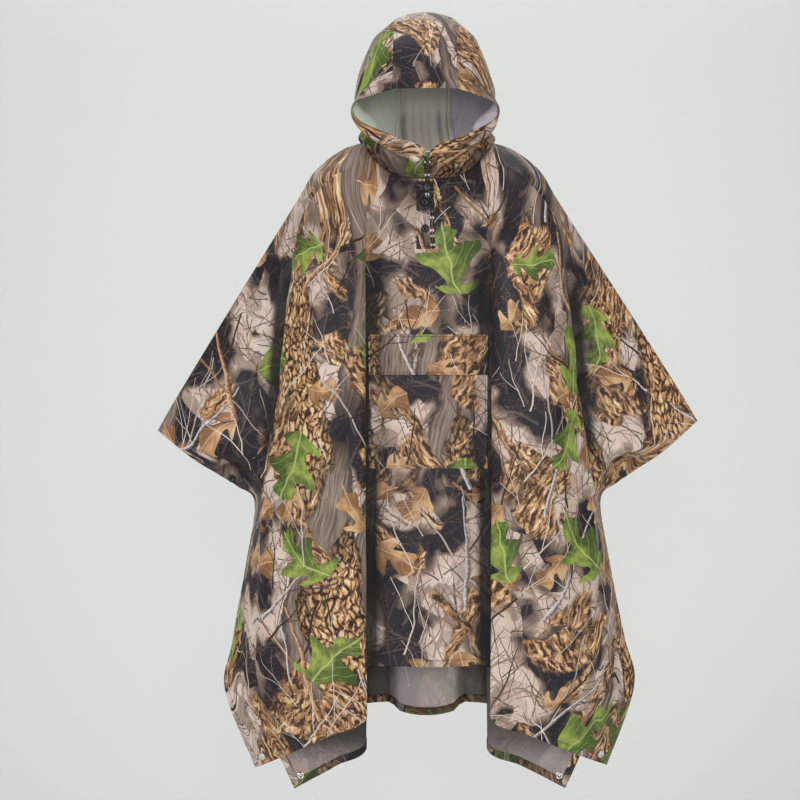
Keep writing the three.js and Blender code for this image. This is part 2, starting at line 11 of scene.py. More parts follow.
import bpy
import numpy as np
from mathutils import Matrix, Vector


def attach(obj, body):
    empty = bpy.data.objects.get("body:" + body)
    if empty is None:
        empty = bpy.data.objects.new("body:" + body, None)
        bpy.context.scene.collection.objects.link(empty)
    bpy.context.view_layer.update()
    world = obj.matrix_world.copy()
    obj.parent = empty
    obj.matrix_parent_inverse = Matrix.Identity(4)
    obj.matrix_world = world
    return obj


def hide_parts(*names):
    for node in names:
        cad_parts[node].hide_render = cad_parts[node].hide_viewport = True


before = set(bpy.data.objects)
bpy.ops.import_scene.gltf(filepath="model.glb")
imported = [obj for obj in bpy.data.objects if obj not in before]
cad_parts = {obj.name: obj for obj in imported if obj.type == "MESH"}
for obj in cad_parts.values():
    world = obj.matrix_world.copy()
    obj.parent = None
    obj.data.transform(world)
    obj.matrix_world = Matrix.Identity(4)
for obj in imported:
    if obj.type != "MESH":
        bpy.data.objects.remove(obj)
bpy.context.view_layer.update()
MM = 0.001


# %% [markdown]
# ## Camera
# The photograph looks level at the chest from about four metres, so lines that run away from
# the eye hardly close in. A 100 mm lens at 4.22 m gives 1.9 mm of cloth for each pixel.

# %% Camera
camera = bpy.data.objects.new("camera", bpy.data.cameras.new("camera"))
bpy.context.scene.collection.objects.link(camera)
camera.data.lens = 100
camera.data.sensor_width = 36
camera.location = (-0.05225, -4.22, -0.4465)
camera.rotation_euler = (math.radians(90), 0, 0)
bpy.context.scene.camera = camera
print("camera", tuple(camera.location), camera.data.lens, "mm")


# %% [markdown]
# ## Curves through stations
# A garment's shape is easiest to set down as a few lines across it, each with a few stations:
# the middle, the bottom of a fold, its lip, the crown of the column beside it. A smooth curve
# through those stations fills in the rest, in the same way along the cloth and across it.

# %% Curves
def through(values, t, sharp=-1):
    """Catmull-Rom: p = b + f/2 (c - a + f (2a - 5b + 4c - d + f (3(b - c) + d - a))), f the part
    of t past station b. At the station sharp the neighbour is b's mirror image, so it stays a corner."""
    values = np.asarray(values, float)
    last = len(values) - 1
    i = np.clip(np.floor(t).astype(int), 0, last - 1)
    f = (t - i).reshape(-1, *[1] * (values.ndim - 1))
    b = values[i]
    c = values[i + 1]
    corner = (i == sharp).reshape(f.shape)
    a = np.where(corner, 2 * b - c, values[np.maximum(i - 1, 0)])
    corner = (i + 1 == sharp).reshape(f.shape)
    d = np.where(corner, 2 * c - b, values[np.minimum(i + 2, last)])
    return b + 0.5 * f * (c - a + f * (2 * a - 5 * b + 4 * c - d + f * (3 * (b - c) + d - a)))


def through_at(places, values, t):
    """The same through unevenly spaced stations: t is first turned into a station number."""
    return through(values, np.interp(t, places, np.arange(len(places))))


def smooth(v):
    """s = v v (3 - 2v) with v held between 0 and 1."""
    v = np.clip(v, 0, 1)
    return v * v * (3 - 2 * v)


def normals_of(grid):
    """n = (change down the grid) x (change across it), at length 1."""
    n = np.cross(np.gradient(grid, axis=0), np.gradient(grid, axis=1))
    return n / np.maximum(np.linalg.norm(n, axis=2, keepdims=True), 1e-12)


def cloth_uv(grid, origin=(0.0, 0.0)):
    """u = length run across the row from its middle. v falls by sqrt(ds^2 - du^2) from one row
    to the next, ds the length run down the column: the cloth laid flat, near enough. Metres."""
    step = np.linalg.norm(np.diff(grid, axis=1), axis=2)
    u = np.concatenate([np.zeros((len(grid), 1)), np.cumsum(step, axis=1)], axis=1)
    u -= u[:, grid.shape[1] // 2][:, None]
    ds = np.linalg.norm(np.diff(grid, axis=0), axis=2)
    dv = np.sqrt(np.maximum(ds ** 2 - np.diff(u, axis=0) ** 2, (0.3 * ds) ** 2))
    v = -np.concatenate([np.zeros((1, grid.shape[1])), np.cumsum(dv, axis=0)], axis=0)
    return np.stack([u + origin[0] / MM, v + origin[1] / MM], axis=2) * MM


def edge_distance(grid, sides):
    """Smallest length along the cloth to the chosen edges: sides holds any of top, bottom, left, right."""
    across = np.linalg.norm(np.diff(grid, axis=1), axis=2)
    down = np.linalg.norm(np.diff(grid, axis=0), axis=2)
    zero_c = np.zeros((len(grid), 1))
    zero_r = np.zeros((1, grid.shape[1]))
    runs = {
        "left": lambda: np.concatenate([zero_c, np.cumsum(across, axis=1)], axis=1),
        "right": lambda: np.concatenate([zero_c, np.cumsum(across[:, ::-1], axis=1)], axis=1)[:, ::-1],
        "top": lambda: np.concatenate([zero_r, np.cumsum(down, axis=0)], axis=0),
        "bottom": lambda: np.concatenate([zero_r, np.cumsum(down[::-1], axis=0)], axis=0)[::-1],
    }
    return np.min([runs[s]() for s in sides], axis=0) if sides else np.full(grid.shape[:2], 999.0)


print("curve helpers ready")


# %% [markdown]
# ## From a grid to a thin shell
# Cloth is nearly all surface. Each piece is a grid of points for the printed side, a copy a
# little further in for the reverse, and a strip round the edge that joins them, so the piece
# is closed and has no holes where two faces meet.

# %% Shell maker
RING = [(-1, -1), (0, -1), (1, -1), (1, 0), (1, 1), (0, 1), (-1, 1), (-1, 0)]


def fold_painted_shade(grid, outward, reach=34, slope=2.0, full=20.0):
    """Painted shade in the folds, 0 to 1, that darkens the colour: how deep each point lies in a fold,
    the most that any point of its row within reach columns stands in front of it, less slope times
    the way to it across, over full. In mm. It fades out above the chest and at the open sides,
    where the cloth slopes away but has no folds. Being part of the colour, it stays dark in any light."""
    most = np.zeros(grid.shape[:2])
    for k in range(1, min(reach, grid.shape[1] - 1)):
        ahead = (grid[:, k:, 1] - grid[:, :-k, 1]) * outward
        off = slope * np.abs(grid[:, :-k, 0] - grid[:, k:, 0])
        most[:, :-k] = np.maximum(most[:, :-k], ahead - off)
        most[:, k:] = np.maximum(most[:, k:], -ahead - off)
    low = -grid[..., 2]
    open_side = smooth((low - 520) / 60) * smooth((np.abs(grid[..., 0]) - 200) / 40)
    return smooth(most / full) * smooth((low - 150) / 110) * (1 - open_side)


def shell(name, grid, thickness, outward, materials, uv, seam, lift=0.0, keep=None, holes=(), shade=None):
    """Outer points p + n * lift, inner points p + n * (lift - thickness), n the unit normal.
    materials: printed side, reverse. seam: length to the nearest sewn edge, in mm. shade: painted
    shade, 0 to 1, for each point of the printed side and of the reverse, which darkens its colour
    where little light would reach. At each hole the four cells round one grid point are left out
    and their edge is closed like the rim."""
    normal = normals_of(grid) * outward
    outer = grid + normal * lift
    inner = grid + normal * (lift - thickness)
    if keep is not None:
        outer[..., 1] = keep(outer[..., 1])
        inner[..., 1] = keep(inner[..., 1])
    rows, cols = grid.shape[:2]
    points = np.concatenate([outer.reshape(-1, 3), inner.reshape(-1, 3)]) * MM
    number = np.arange(rows * cols).reshape(rows, cols)
    a, b, c, d = number[:-1, :-1], number[1:, :-1], number[1:, 1:], number[:-1, 1:]
    cell = np.ones((rows - 1, cols - 1), bool)
    for r, k in holes:
        cell[r - 1:r + 1, k - 1:k + 1] = False
    front = np.stack([a, b, c, d], axis=2)[cell]
    back = front[:, ::-1] + rows * cols
    ring = np.concatenate([number[:-1, 0], number[-1, :-1], number[:0:-1, -1], number[0, :0:-1]])
    after = np.roll(ring, -1)
    rim = [np.stack([after, ring, ring + rows * cols, after + rows * cols], axis=1)]
    for r, k in holes:
        ring = np.array([number[r + dr, k + dk] for dr, dk in RING])
        after = np.roll(ring, -1)
        rim.append(np.stack([ring, after, after + rows * cols, ring + rows * cols], axis=1))
    faces = np.concatenate([front, back, *rim])
    if outward < 0:
        faces = faces[:, ::-1]
    used = np.ones(len(points), bool)
    for r, k in holes:
        used[[number[r, k], number[r, k] + rows * cols]] = False
    faces = (np.cumsum(used) - 1)[faces]
    points = points[used]
    mesh = bpy.data.meshes.new(name)
    mesh.vertices.add(len(points))
    mesh.vertices.foreach_set("co", points.ravel())
    mesh.loops.add(faces.size)
    mesh.loops.foreach_set("vertex_index", faces.ravel())
    mesh.polygons.add(len(faces))
    mesh.polygons.foreach_set("loop_start", np.arange(0, faces.size, 4))
    for material in materials:
        mesh.materials.append(material)
    index = np.zeros(len(faces), int)
    index[len(front):len(front) * 2] = 1
    mesh.polygons.foreach_set("material_index", index)
    mesh.polygons.foreach_set("use_smooth", np.ones(len(faces), bool))
    mesh.update(calc_edges=True)
    flat = np.concatenate([uv.reshape(-1, 2)] * 2)[used]
    layer = mesh.uv_layers.new(name="cloth")
    layer.data.foreach_set("uv", flat[faces.ravel()].ravel())
    attribute = mesh.attributes.new("seam", "FLOAT", "POINT")
    attribute.data.foreach_set("value", np.concatenate([seam.ravel()] * 2)[used].astype(np.float32))
    if shade is not None:
        attribute = mesh.attributes.new("shade", "FLOAT", "POINT")
        attribute.data.foreach_set("value", np.concatenate([s.ravel() for s in shade])[used].astype(np.float32))
    piece = bpy.data.objects.new(name, mesh)
    bpy.context.scene.collection.objects.link(piece)
    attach(piece, "root")
    area = np.linalg.norm(np.cross(outer[1:, :-1] - outer[:-1, :-1], outer[:-1, 1:] - outer[:-1, :-1]), axis=2)
    print(f"{name}: {len(faces) * 2} triangles, {area.sum() * 1e-6:.3f} m2 of cloth")
    return piece


def turned(name, profile, segments, centre, direction, material):
    """Each point (r, h) of the closed profile runs round the axis: centre + r (cos t e1 + sin t e2) + h axis."""
    profile = np.asarray(profile, float)
    axis = Vector(direction).normalized()
    turn = np.array(axis.to_track_quat("Z", "Y").to_matrix())
    angle = np.arange(segments) * 2 * math.pi / segments
    ring = np.stack([np.cos(angle), np.sin(angle), np.zeros(segments)], axis=1)
    points = profile[:, None, :1] * ring[None] + profile[:, None, 1:] * np.array([0, 0, 1.0])
    points = points.reshape(-1, 3) @ turn.T + np.asarray(centre)
    count = len(profile)
    number = np.arange(count * segments).reshape(count, segments)
    a = number
    b = np.roll(number, -1, axis=0)
    faces = np.stack([a, np.roll(a, -1, axis=1), np.roll(b, -1, axis=1), b], axis=2).reshape(-1, 4)
    mesh = bpy.data.meshes.new(name)
    mesh.from_pydata((points * MM).tolist(), [], faces.tolist())
    mesh.polygons.foreach_set("use_smooth", np.ones(len(faces), bool))
    mesh.materials.append(material)
    mesh.update()
    piece = bpy.data.objects.new(name, mesh)
    bpy.context.scene.collection.objects.link(piece)
    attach(piece, "root")
    return piece


print("shell maker ready")


# %% [markdown]
# ## Shader helpers
# Colours are given as they look on screen (sRGB) and turned into linear light once.

# %% Shader helpers
def srgb(code):
    """Linear = ((c + 0.055) / 1.055) ^ 2.4, or c / 12.92 for the darkest, for each channel c of #rrggbb."""
    c = np.array([int(code[i:i + 2], 16) for i in (1, 3, 5)]) / 255
    linear = np.where(c > 0.04045, ((c + 0.055) / 1.055) ** 2.4, c / 12.92)
    return (*[float(v) for v in linear], 1.0)


def add(tree, kind, inputs=None, out=0, **settings):
    """Adds a node with its settings, sets or links its inputs, and gives back one of its outputs."""
    node = tree.nodes.new(kind)
    for key, value in settings.items():
        setattr(node, key, value)
    for key, value in (inputs or {}).items():
        if isinstance(value, bpy.types.NodeSocket):
            tree.links.new(value, node.inputs[key])
        else:
            node.inputs[key].default_value = value
    return node.outputs[out]


def maths(tree, operation, *values, clamp=False):
    """One Math node: operation applied to one, two or three values or sockets."""
    return add(tree, "ShaderNodeMath", dict(enumerate(values)), operation=operation, use_clamp=clamp)


def ramp(tree, factor, stops, interpolation="LINEAR"):
    """Colour ramp: stops are (place, colour code) pairs."""
    node = tree.nodes.new("ShaderNodeValToRGB")
    node.color_ramp.interpolation = interpolation
    elements = node.color_ramp.elements
    while len(elements) < len(stops):
        elements.new(0.5)
    for element, (place, code) in zip(elements, stops):
        element.position = place
        element.color = srgb(code)
    tree.links.new(factor, node.inputs[0])
    return node.outputs[0]


def mix(tree, factor, a, b, blend="MIX"):
    """Colour a where factor is 0, b where it is 1."""
    node = tree.nodes.new("ShaderNodeMix")
    node.data_type = "RGBA"
    node.blend_type = blend
    for socket, value in ((node.inputs[0], factor), (node.inputs[6], a), (node.inputs[7], b)):
        if isinstance(value, bpy.types.NodeSocket):
            tree.links.new(value, socket)
        else:
            socket.default_value = value
    return node.outputs[2]


def step(tree, value, low, high):
    """0 below low, 1 above high, smooth between."""
    return add(tree, "ShaderNodeMapRange", {0: value, 1: low, 2: high}, interpolation_type="SMOOTHSTEP")


def mapped(tree, vector, scale, turn=0.0, move=(0, 0, 0)):
    """vector moved, turned back by turn degrees, then multiplied by scale, so a pattern that is
    drawn out along x runs at turn degrees."""
    return add(tree, "ShaderNodeMapping",
               {0: vector, 1: move, 2: (0, 0, math.radians(turn)), 3: (1 / scale[0], 1 / scale[1], 1)},
               vector_type="TEXTURE")


print("shader helpers ready")


# %% [markdown]
# ## The woodland print
# The real print is a photograph of a forest floor repeated over the cloth: pale ground between
# dark gaps, rough bark, thin twigs and a few bright leaves. Here a generic one of the same
# colours and scale is drawn from cells and noise. One decimetre of cloth is one unit, so a cell
# scale of 7 makes bark flakes of about 14 mm. Every layer lies over the one before it, as in
# the wood: ground, dry litter, trunks, twigs, leaves.

# %% Woodland print
def noise(tree, vector, scale, detail=2.0, rough=0.5, distortion=0.0, out=0):
    """Fractal noise of 0 to 1 on the cloth's plane."""
    return add(tree, "ShaderNodeTexNoise",
               {"Vector": vector, "Scale": scale, "Detail": detail, "Roughness": rough,
                "Distortion": distortion}, out=out, noise_dimensions="2D")


def cells(tree, vector, scale, feature="F1", out="Color", randomness=1.0):
    """Voronoi cells on the cloth's plane: their colour, distance or place."""
    return add(tree, "ShaderNodeTexVoronoi", {"Vector": vector, "Scale": scale, "Randomness": randomness},
               out=out, voronoi_dimensions="2D", feature=feature)


def strokes(tree, vector, stretch, turn, move, width, patch_scale, patch):
    """Long bent lines: where noise that is drawn out along one direction passes through 0.5. Gives
    back 1 on the line, kept inside patches of a second noise, and the place across it from -1 to 1."""
    value = noise(tree, mapped(tree, vector, stretch, turn, move), 1.0, 1.0, 0.35, 0.25)
    across = maths(tree, "DIVIDE", maths(tree, "SUBTRACT", value, 0.5), width)
    line = step(tree, maths(tree, "ABSOLUTE", across), 1.0, 0.75)
    there = noise(tree, mapped(tree, vector, (patch_scale, patch_scale), 0, (move[1], move[0], 0)), 1.0, 1.0)
    return maths(tree, "MULTIPLY", line, step(tree, there, patch, patch + 0.03)), across


def sticks(tree, vector, scale, length, width, chance, stops, out, rough, spread=0.9):
    """One forked stick to a cell. u runs 0 to 1 along it and v across; the stem is |v - bend| < w
    (1 - 0.6 u), and two side twigs leave it at u = 0.35 and 0.55 as |v - bend - k (u - start)| < w/2.
    rough is a fine noise that breaks up its colour."""
    voronoi = tree.nodes.new("ShaderNodeTexVoronoi")
    voronoi.voronoi_dimensions = "2D"
    voronoi.inputs["Scale"].default_value = scale
    voronoi.inputs["Randomness"].default_value = 0.55
    tree.links.new(vector, voronoi.inputs["Vector"])
    local = add(tree, "ShaderNodeVectorMath", {0: vector, 1: voronoi.outputs["Position"]}, operation="SUBTRACT")
    pick = add(tree, "ShaderNodeSeparateColor", {0: voronoi.outputs["Color"]})
    other, blue = pick.node.outputs[1], pick.node.outputs[2]
    turn = maths(tree, "MULTIPLY_ADD", pick, 2 * spread, -math.pi / 2 - spread)
    local = add(tree, "ShaderNodeVectorRotate", {"Vector": local, "Angle": turn}, rotation_type="Z_AXIS")
    split = add(tree, "ShaderNodeSeparateXYZ", {0: local})
    u = maths(tree, "MULTIPLY_ADD", split, 1 / length, 0.5)
    v = maths(tree, "MULTIPLY", split.node.outputs[1], 1 / length)
    wave = maths(tree, "SINE", maths(tree, "MULTIPLY_ADD", u, 5.0, maths(tree, "MULTIPLY", blue, 6.3)))
    v = maths(tree, "MULTIPLY_ADD", wave, -0.028, v)
    w = width / length
    stem = maths(tree, "DIVIDE", v, maths(tree, "MULTIPLY_ADD", u, -0.6 * w, w))
    mask = step(tree, maths(tree, "ABSOLUTE", stem), 1.0, 0.8)
    for start, lean in ((0.35, 0.6), (0.55, -0.75)):
        past = maths(tree, "SUBTRACT", u, start)
        off = maths(tree, "ABSOLUTE", maths(tree, "MULTIPLY_ADD", past, -lean, v))
        twig = maths(tree, "MULTIPLY", step(tree, off, w * 0.42, w * 0.30), step(tree, past, 0.0, 0.01))
        mask = maths(tree, "MAXIMUM", mask, twig)
    inside = maths(tree, "MULTIPLY", step(tree, u, 0.0, 0.01), step(tree, u, 1.0, 0.98))
    there = maths(tree, "LESS_THAN", other, chance)
    mask = maths(tree, "MULTIPLY", maths(tree, "MULTIPLY", mask, inside), there)
    tone = ramp(tree, maths(tree, "ADD", maths(tree, "MULTIPLY_ADD", stem, 0.5, 0.1), rough), stops)
    return mix(tree, mask, out, tone)


def leaf_layer(tree, vector, scale, length, chance, lobes, green, out, edge, veined=True):
    """Leaves strewn one to a cell. In the leaf's own frame u runs 0 to 1 along it and v across:
    half width w = 0.42 sin(pi u^0.8) (0.64 + 0.36 cos(2 pi lobes u - 9 |v|)) + edge, and the leaf is
    where |v| < w. edge is a fine noise that frays its rim."""
    voronoi = tree.nodes.new("ShaderNodeTexVoronoi")
    voronoi.voronoi_dimensions = "2D"
    voronoi.inputs["Scale"].default_value = scale
    voronoi.inputs["Randomness"].default_value = 0.85
    tree.links.new(vector, voronoi.inputs["Vector"])
    local = add(tree, "ShaderNodeVectorMath", {0: vector, 1: voronoi.outputs["Position"]}, operation="SUBTRACT")
    pick = add(tree, "ShaderNodeSeparateColor", {0: voronoi.outputs["Color"]})
    red, other, blue = pick, pick.node.outputs[1], pick.node.outputs[2]
    turn = maths(tree, "MULTIPLY", red, 6.2832)
    local = add(tree, "ShaderNodeVectorRotate", {"Vector": local, "Angle": turn}, rotation_type="Z_AXIS")
    split = add(tree, "ShaderNodeSeparateXYZ", {0: local})
    size = maths(tree, "MULTIPLY_ADD", blue, length * 0.5, length * 0.7)
    u = maths(tree, "ADD", maths(tree, "DIVIDE", split, size), 0.5)
    v = maths(tree, "DIVIDE", split.node.outputs[1], size)
    bend = maths(tree, "MULTIPLY", maths(tree, "SINE", maths(tree, "MULTIPLY", u, 2.6)), 0.08)
    v = maths(tree, "SUBTRACT", v, bend)
    across = maths(tree, "ABSOLUTE", v)
    held = maths(tree, "MINIMUM", maths(tree, "MAXIMUM", u, 0.0), 1.0)
    body = maths(tree, "SINE", maths(tree, "MULTIPLY", maths(tree, "POWER", held, 0.8), math.pi))
    phase = maths(tree, "SUBTRACT", maths(tree, "MULTIPLY", held, 2 * math.pi * lobes),
                  maths(tree, "MULTIPLY", across, 9.0))
    lobe = maths(tree, "MULTIPLY_ADD", maths(tree, "COSINE", phase), 0.36, 0.64)
    half = maths(tree, "MULTIPLY", maths(tree, "MULTIPLY", body, lobe), 0.42)
    half = maths(tree, "ADD", half, edge)
    inside = step(tree, maths(tree, "SUBTRACT", half, across), 0.0, 0.012)
    there = maths(tree, "LESS_THAN", other, chance)
    mask = maths(tree, "MULTIPLY", inside, there)
    rib = step(tree, across, 0.016, 0.006)
    side = maths(tree, "FRACT", maths(tree, "SUBTRACT", maths(tree, "MULTIPLY", u, 7.0),
                                      maths(tree, "MULTIPLY", across, 9.0)))
    vein = maths(tree, "MULTIPLY", step(tree, maths(tree, "ABSOLUTE", maths(tree, "SUBTRACT", side, 0.5)), 0.06, 0.02), 0.55)
    vein = maths(tree, "MAXIMUM", rib, vein)
    shade = maths(tree, "MULTIPLY_ADD", noise(tree, local, 2.6, 4.0, 0.6), 1.3,
                  maths(tree, "MULTIPLY_ADD", v, 0.8, -0.18))
    body_colour = ramp(tree, shade, green)
    if not veined:
        return mix(tree, mask, out, body_colour)
    colour = mix(tree, maths(tree, "MULTIPLY", vein, 0.6), body_colour, srgb("#c3d382" if lobes > 2 else "#e2c69b"))
    outline = step(tree, maths(tree, "SUBTRACT", half, across), 0.035, 0.0)
    colour = mix(tree, maths(tree, "MULTIPLY", outline, 0.35), colour, srgb("#35401f" if lobes > 2 else "#3a281c"))
    return mix(tree, mask, out, colour)


def woodland_group():
    """Cloth place in metres in, print colour out."""
    tree = bpy.data.node_groups.new("woodland_print", "ShaderNodeTree")
    tree.interface.new_socket("Vector", in_out="INPUT", socket_type="NodeSocketVector")
    tree.interface.new_socket("Color", in_out="OUTPUT", socket_type="NodeSocketColor")
    start = add(tree, "NodeGroupInput")
    place = add(tree, "ShaderNodeVectorMath", {0: start, "Scale": 10.0}, operation="SCALE")
    drift = add(tree, "ShaderNodeVectorMath",
                {0: noise(tree, place, 1.1, 2.0, out="Color"), 1: (0.5, 0.5, 0.5)}, operation="SUBTRACT")
    warped = add(tree, "ShaderNodeVectorMath", {0: drift, 1: (0.36, 0.36, 0), 2: place}, operation="MULTIPLY_ADD")
    gentle = add(tree, "ShaderNodeVectorMath", {0: drift, 1: (0.2, 0.2, 0), 2: place}, operation="MULTIPLY_ADD")
    ragged = add(tree, "ShaderNodeVectorMath",
                 {0: noise(tree, place, 6.0, 3.0, 0.6, out="Color"), 1: (0.12, 0.12, 0), 2: warped},
                 operation="MULTIPLY_ADD")

    rough = maths(tree, "MULTIPLY", noise(tree, gentle, 16.0, 2.0), 0.8)
    edge = maths(tree, "MULTIPLY_ADD", noise(tree, warped, 9.0), 0.05, -0.025)
    facet = add(tree, "ShaderNodeSeparateColor", {0: cells(tree, mapped(tree, gentle, (2.4, 1.5), 24), 1.0)})
    value = maths(tree, "MULTIPLY_ADD", facet, 0.13, noise(tree, ragged, 0.70, 2.0, 0.5))
    ground = ramp(tree, value, [
        (0.0, "#1c181f"), (0.535, "#27222a"), (0.545, "#4b403d"), (0.575, "#7d6a5e"), (0.60, "#a08c7f"), (0.612, "#c8b1a4"),
        (0.72, "#dac6ba"), (1.0, "#e4d5cc")])
    specks = step(tree, noise(tree, ragged, 26.0, 2.0, 0.6), 0.62, 0.68)
    dark = step(tree, value, 0.56, 0.52)
    speckled = maths(tree, "MULTIPLY", specks, maths(tree, "MULTIPLY", dark, step(tree, noise(tree, warped, 1.7), 0.48, 0.6)))
    ground = mix(tree, maths(tree, "MULTIPLY", speckled, 0.7), ground, srgb("#80593c"))
    for scale, move, low, high in ((0.95, (3.3, 8.1, 0), "#a8948a", "#c4b0a6"), (1.15, (9.7, 4.3, 0), "#8c776b", "#b09c91")):
        ghost = leaf_layer(tree, mapped(tree, warped, (1, 1), 0, move), scale, 0.9, 0.55, 1.2, [(0.2, low), (0.9, high)], ground,
                           edge, veined=False)
        ground = mix(tree, maths(tree, "MULTIPLY", step(tree, value, 0.575, 0.60), 0.8), ground, ghost)
    pale_only = step(tree, value, 0.56, 0.60)
    thicket = ground
    for scale, length, width, chance, move, code in (
            (1.5, 1.0, 0.020, 0.85, (1, 4, 0), "#6a5447"), (1.3, 1.2, 0.026, 0.80, (6, 2, 0), "#8a6f5f"),
            (1.9, 0.8, 0.015, 0.80, (3, 9, 0), "#4b3a31"), (1.0, 1.5, 0.022, 0.7, (8, 1, 0), "#97806f"),
            (1.6, 0.95, 0.030, 0.85, (5, 5, 0), "#a3897a"), (2.1, 0.7, 0.014, 0.85, (2, 7, 0), "#54433a")):
        thicket = sticks(tree, mapped(tree, gentle, (1, 1), 0, move), scale, length, width, chance,
                         [(0.0, code), (1.0, code)], thicket, rough, 1.4)
    ground = mix(tree, maths(tree, "MULTIPLY_ADD", pale_only, 0.75, 0.2), ground, thicket)
    plank = mapped(tree, ragged, (1.05, 0.16), -11, (2.9, 6.4, 0))
    smooth_trunk = add(tree, "ShaderNodeSeparateColor", {0: cells(tree, plank, 1.0)})
    plank_side = cells(tree, plank, 1.0, "DISTANCE_TO_EDGE", "Distance")
    fibre = noise(tree, mapped(tree, gentle, (24.0, 1.6), -11), 1.0, 3.0, 0.65)
    taupe = ramp(tree, fibre, [(0.30, "#5c4e46"), (0.45, "#7b6a5f"), (0.58, "#917f72"), (0.75, "#a79788")])
    taupe = mix(tree, step(tree, plank_side, 0.16, 0.03), taupe, srgb("#463a35"))
    smooth_trunk = maths(tree, "MULTIPLY", maths(tree, "GREATER_THAN", smooth_trunk, 0.76), step(tree, plank_side, 0.03, 0.05))
    ground = mix(tree, smooth_trunk, ground, taupe)

    grain = noise(tree, mapped(tree, ragged, (14.0, 5.0), 0), 1.0, 4.0, 0.65, 0.4)
    flake = cells(tree, mapped(tree, ragged, (10.5, 5.6), 4), 1.0, "DISTANCE_TO_EDGE", "Distance")
    tone = maths(tree, "ADD", grain, maths(tree, "MULTIPLY_ADD", maths(tree, "MINIMUM", flake, 0.28), 0.95, -0.17))
    bark = ramp(tree, tone, [
        (0.0, "#2a1c15"), (0.36, "#3f2a1d"), (0.43, "#7d573b"), (0.50, "#ab7e57"), (0.59, "#cfa67a"), (0.68, "#e7c9a0"),
        (1.0, "#f2dfc3")])
    tall = mapped(tree, ragged, (0.80, 0.13), 7, (0.4, 0.9, 0))
    trunk = add(tree, "ShaderNodeSeparateColor", {0: cells(tree, tall, 1.0)})
    side = cells(tree, tall, 1.0, "DISTANCE_TO_EDGE", "Distance")
    trunk = maths(tree, "MULTIPLY", maths(tree, "GREATER_THAN", trunk, 0.66), step(tree, side, 0.05, 0.07))
    round_off = maths(tree, "SUBTRACT", 0.8, maths(tree, "MULTIPLY", step(tree, side, 0.03, 0.20), 0.8))
    colour = mix(tree, trunk, ground, mix(tree, round_off, bark, srgb("#2c2120")))

    for stretch, turn, move, width, patch in (((0.1, 0.62), 58, (7, 1, 0), 0.085, 0.52), ((0.1, 0.7), 125, (2, 6, 0), 0.075, 0.54)):
        limb, across = strokes(tree, ragged, stretch, turn, move, width, 0.7, patch)
        streak = noise(tree, mapped(tree, ragged, (4.2, 15.0), turn), 1.0, 4.0, 0.6, 0.4)
        wood = ramp(tree, streak, [(0.0, "#38261b"), (0.43, "#4a3325"), (0.50, "#9a7150"), (0.58, "#c79b70"), (0.70, "#ecd3ae")])
        shade = step(tree, maths(tree, "MULTIPLY", across, -1.0), 0.1, 1.0)
        colour = mix(tree, limb, colour, mix(tree, maths(tree, "MULTIPLY", shade, 0.75), wood, srgb("#2c2120")))

    colour = leaf_layer(tree, mapped(tree, warped, (1, 1), 0, (7.3, 1.9, 0)), 0.88, 0.80, 0.34, 1.8, [
        (0.0, "#553824"), (0.35, "#8e6442"), (0.6, "#bb8f66"), (0.85, "#d9b58a"), (1.0, "#ead2ae")], colour, edge)
    pale = [(0.0, "#4d4244"), (0.35, "#8b7f7d"), (0.6, "#bfb3af"), (0.85, "#e3dad6"), (1.0, "#b1a39d")]
    bone = [(0.0, "#8f7c70"), (0.5, "#d2c0b4"), (1.0, "#e4d8ce")]
    brown = [(0.0, "#241a17"), (1.0, "#4a382f")]
    tan = [(0.0, "#3a281e"), (0.3, "#7d5a41"), (0.6, "#b98d66"), (0.9, "#dcba92"), (1.0, "#8e6a4c")]
    for scale, length, width, chance, move, stops in (
            (0.40, 2.3, 0.052, 0.45, (5, 5, 0), pale), (0.42, 2.1, 0.075, 0.40, (8, 8, 0), tan),
            (0.62, 1.6, 0.019, 0.45, (4, 3, 0), bone), (0.80, 1.3, 0.024, 0.45, (2, 2, 0), brown),
            (1.1, 1.0, 0.012, 0.45, (6, 9, 0), bone)):
        colour = sticks(tree, mapped(tree, gentle, (1, 1), 0, move), scale, length, width, chance, stops, colour,
                        rough)
    colour = leaf_layer(tree, mapped(tree, warped, (1, 1), 0, (1.2, 5.5, 0)), 0.56, 1.45, 0.42, 2.6, [
        (0.0, "#2f3a1f"), (0.32, "#4d5d2b"), (0.55, "#788741"), (0.75, "#98a84e"), (1.0, "#b6c268")], colour, edge)
    colour = sticks(tree, mapped(tree, gentle, (1, 1), 0, (3, 7, 0)), 0.6, 1.7, 0.015, 0.25, bone, colour, rough)
    end = tree.nodes.new("NodeGroupOutput")
    tree.links.new(colour, end.inputs[0])
    return tree


PRINT = woodland_group()
print("print layers:", len(PRINT.nodes), "nodes")
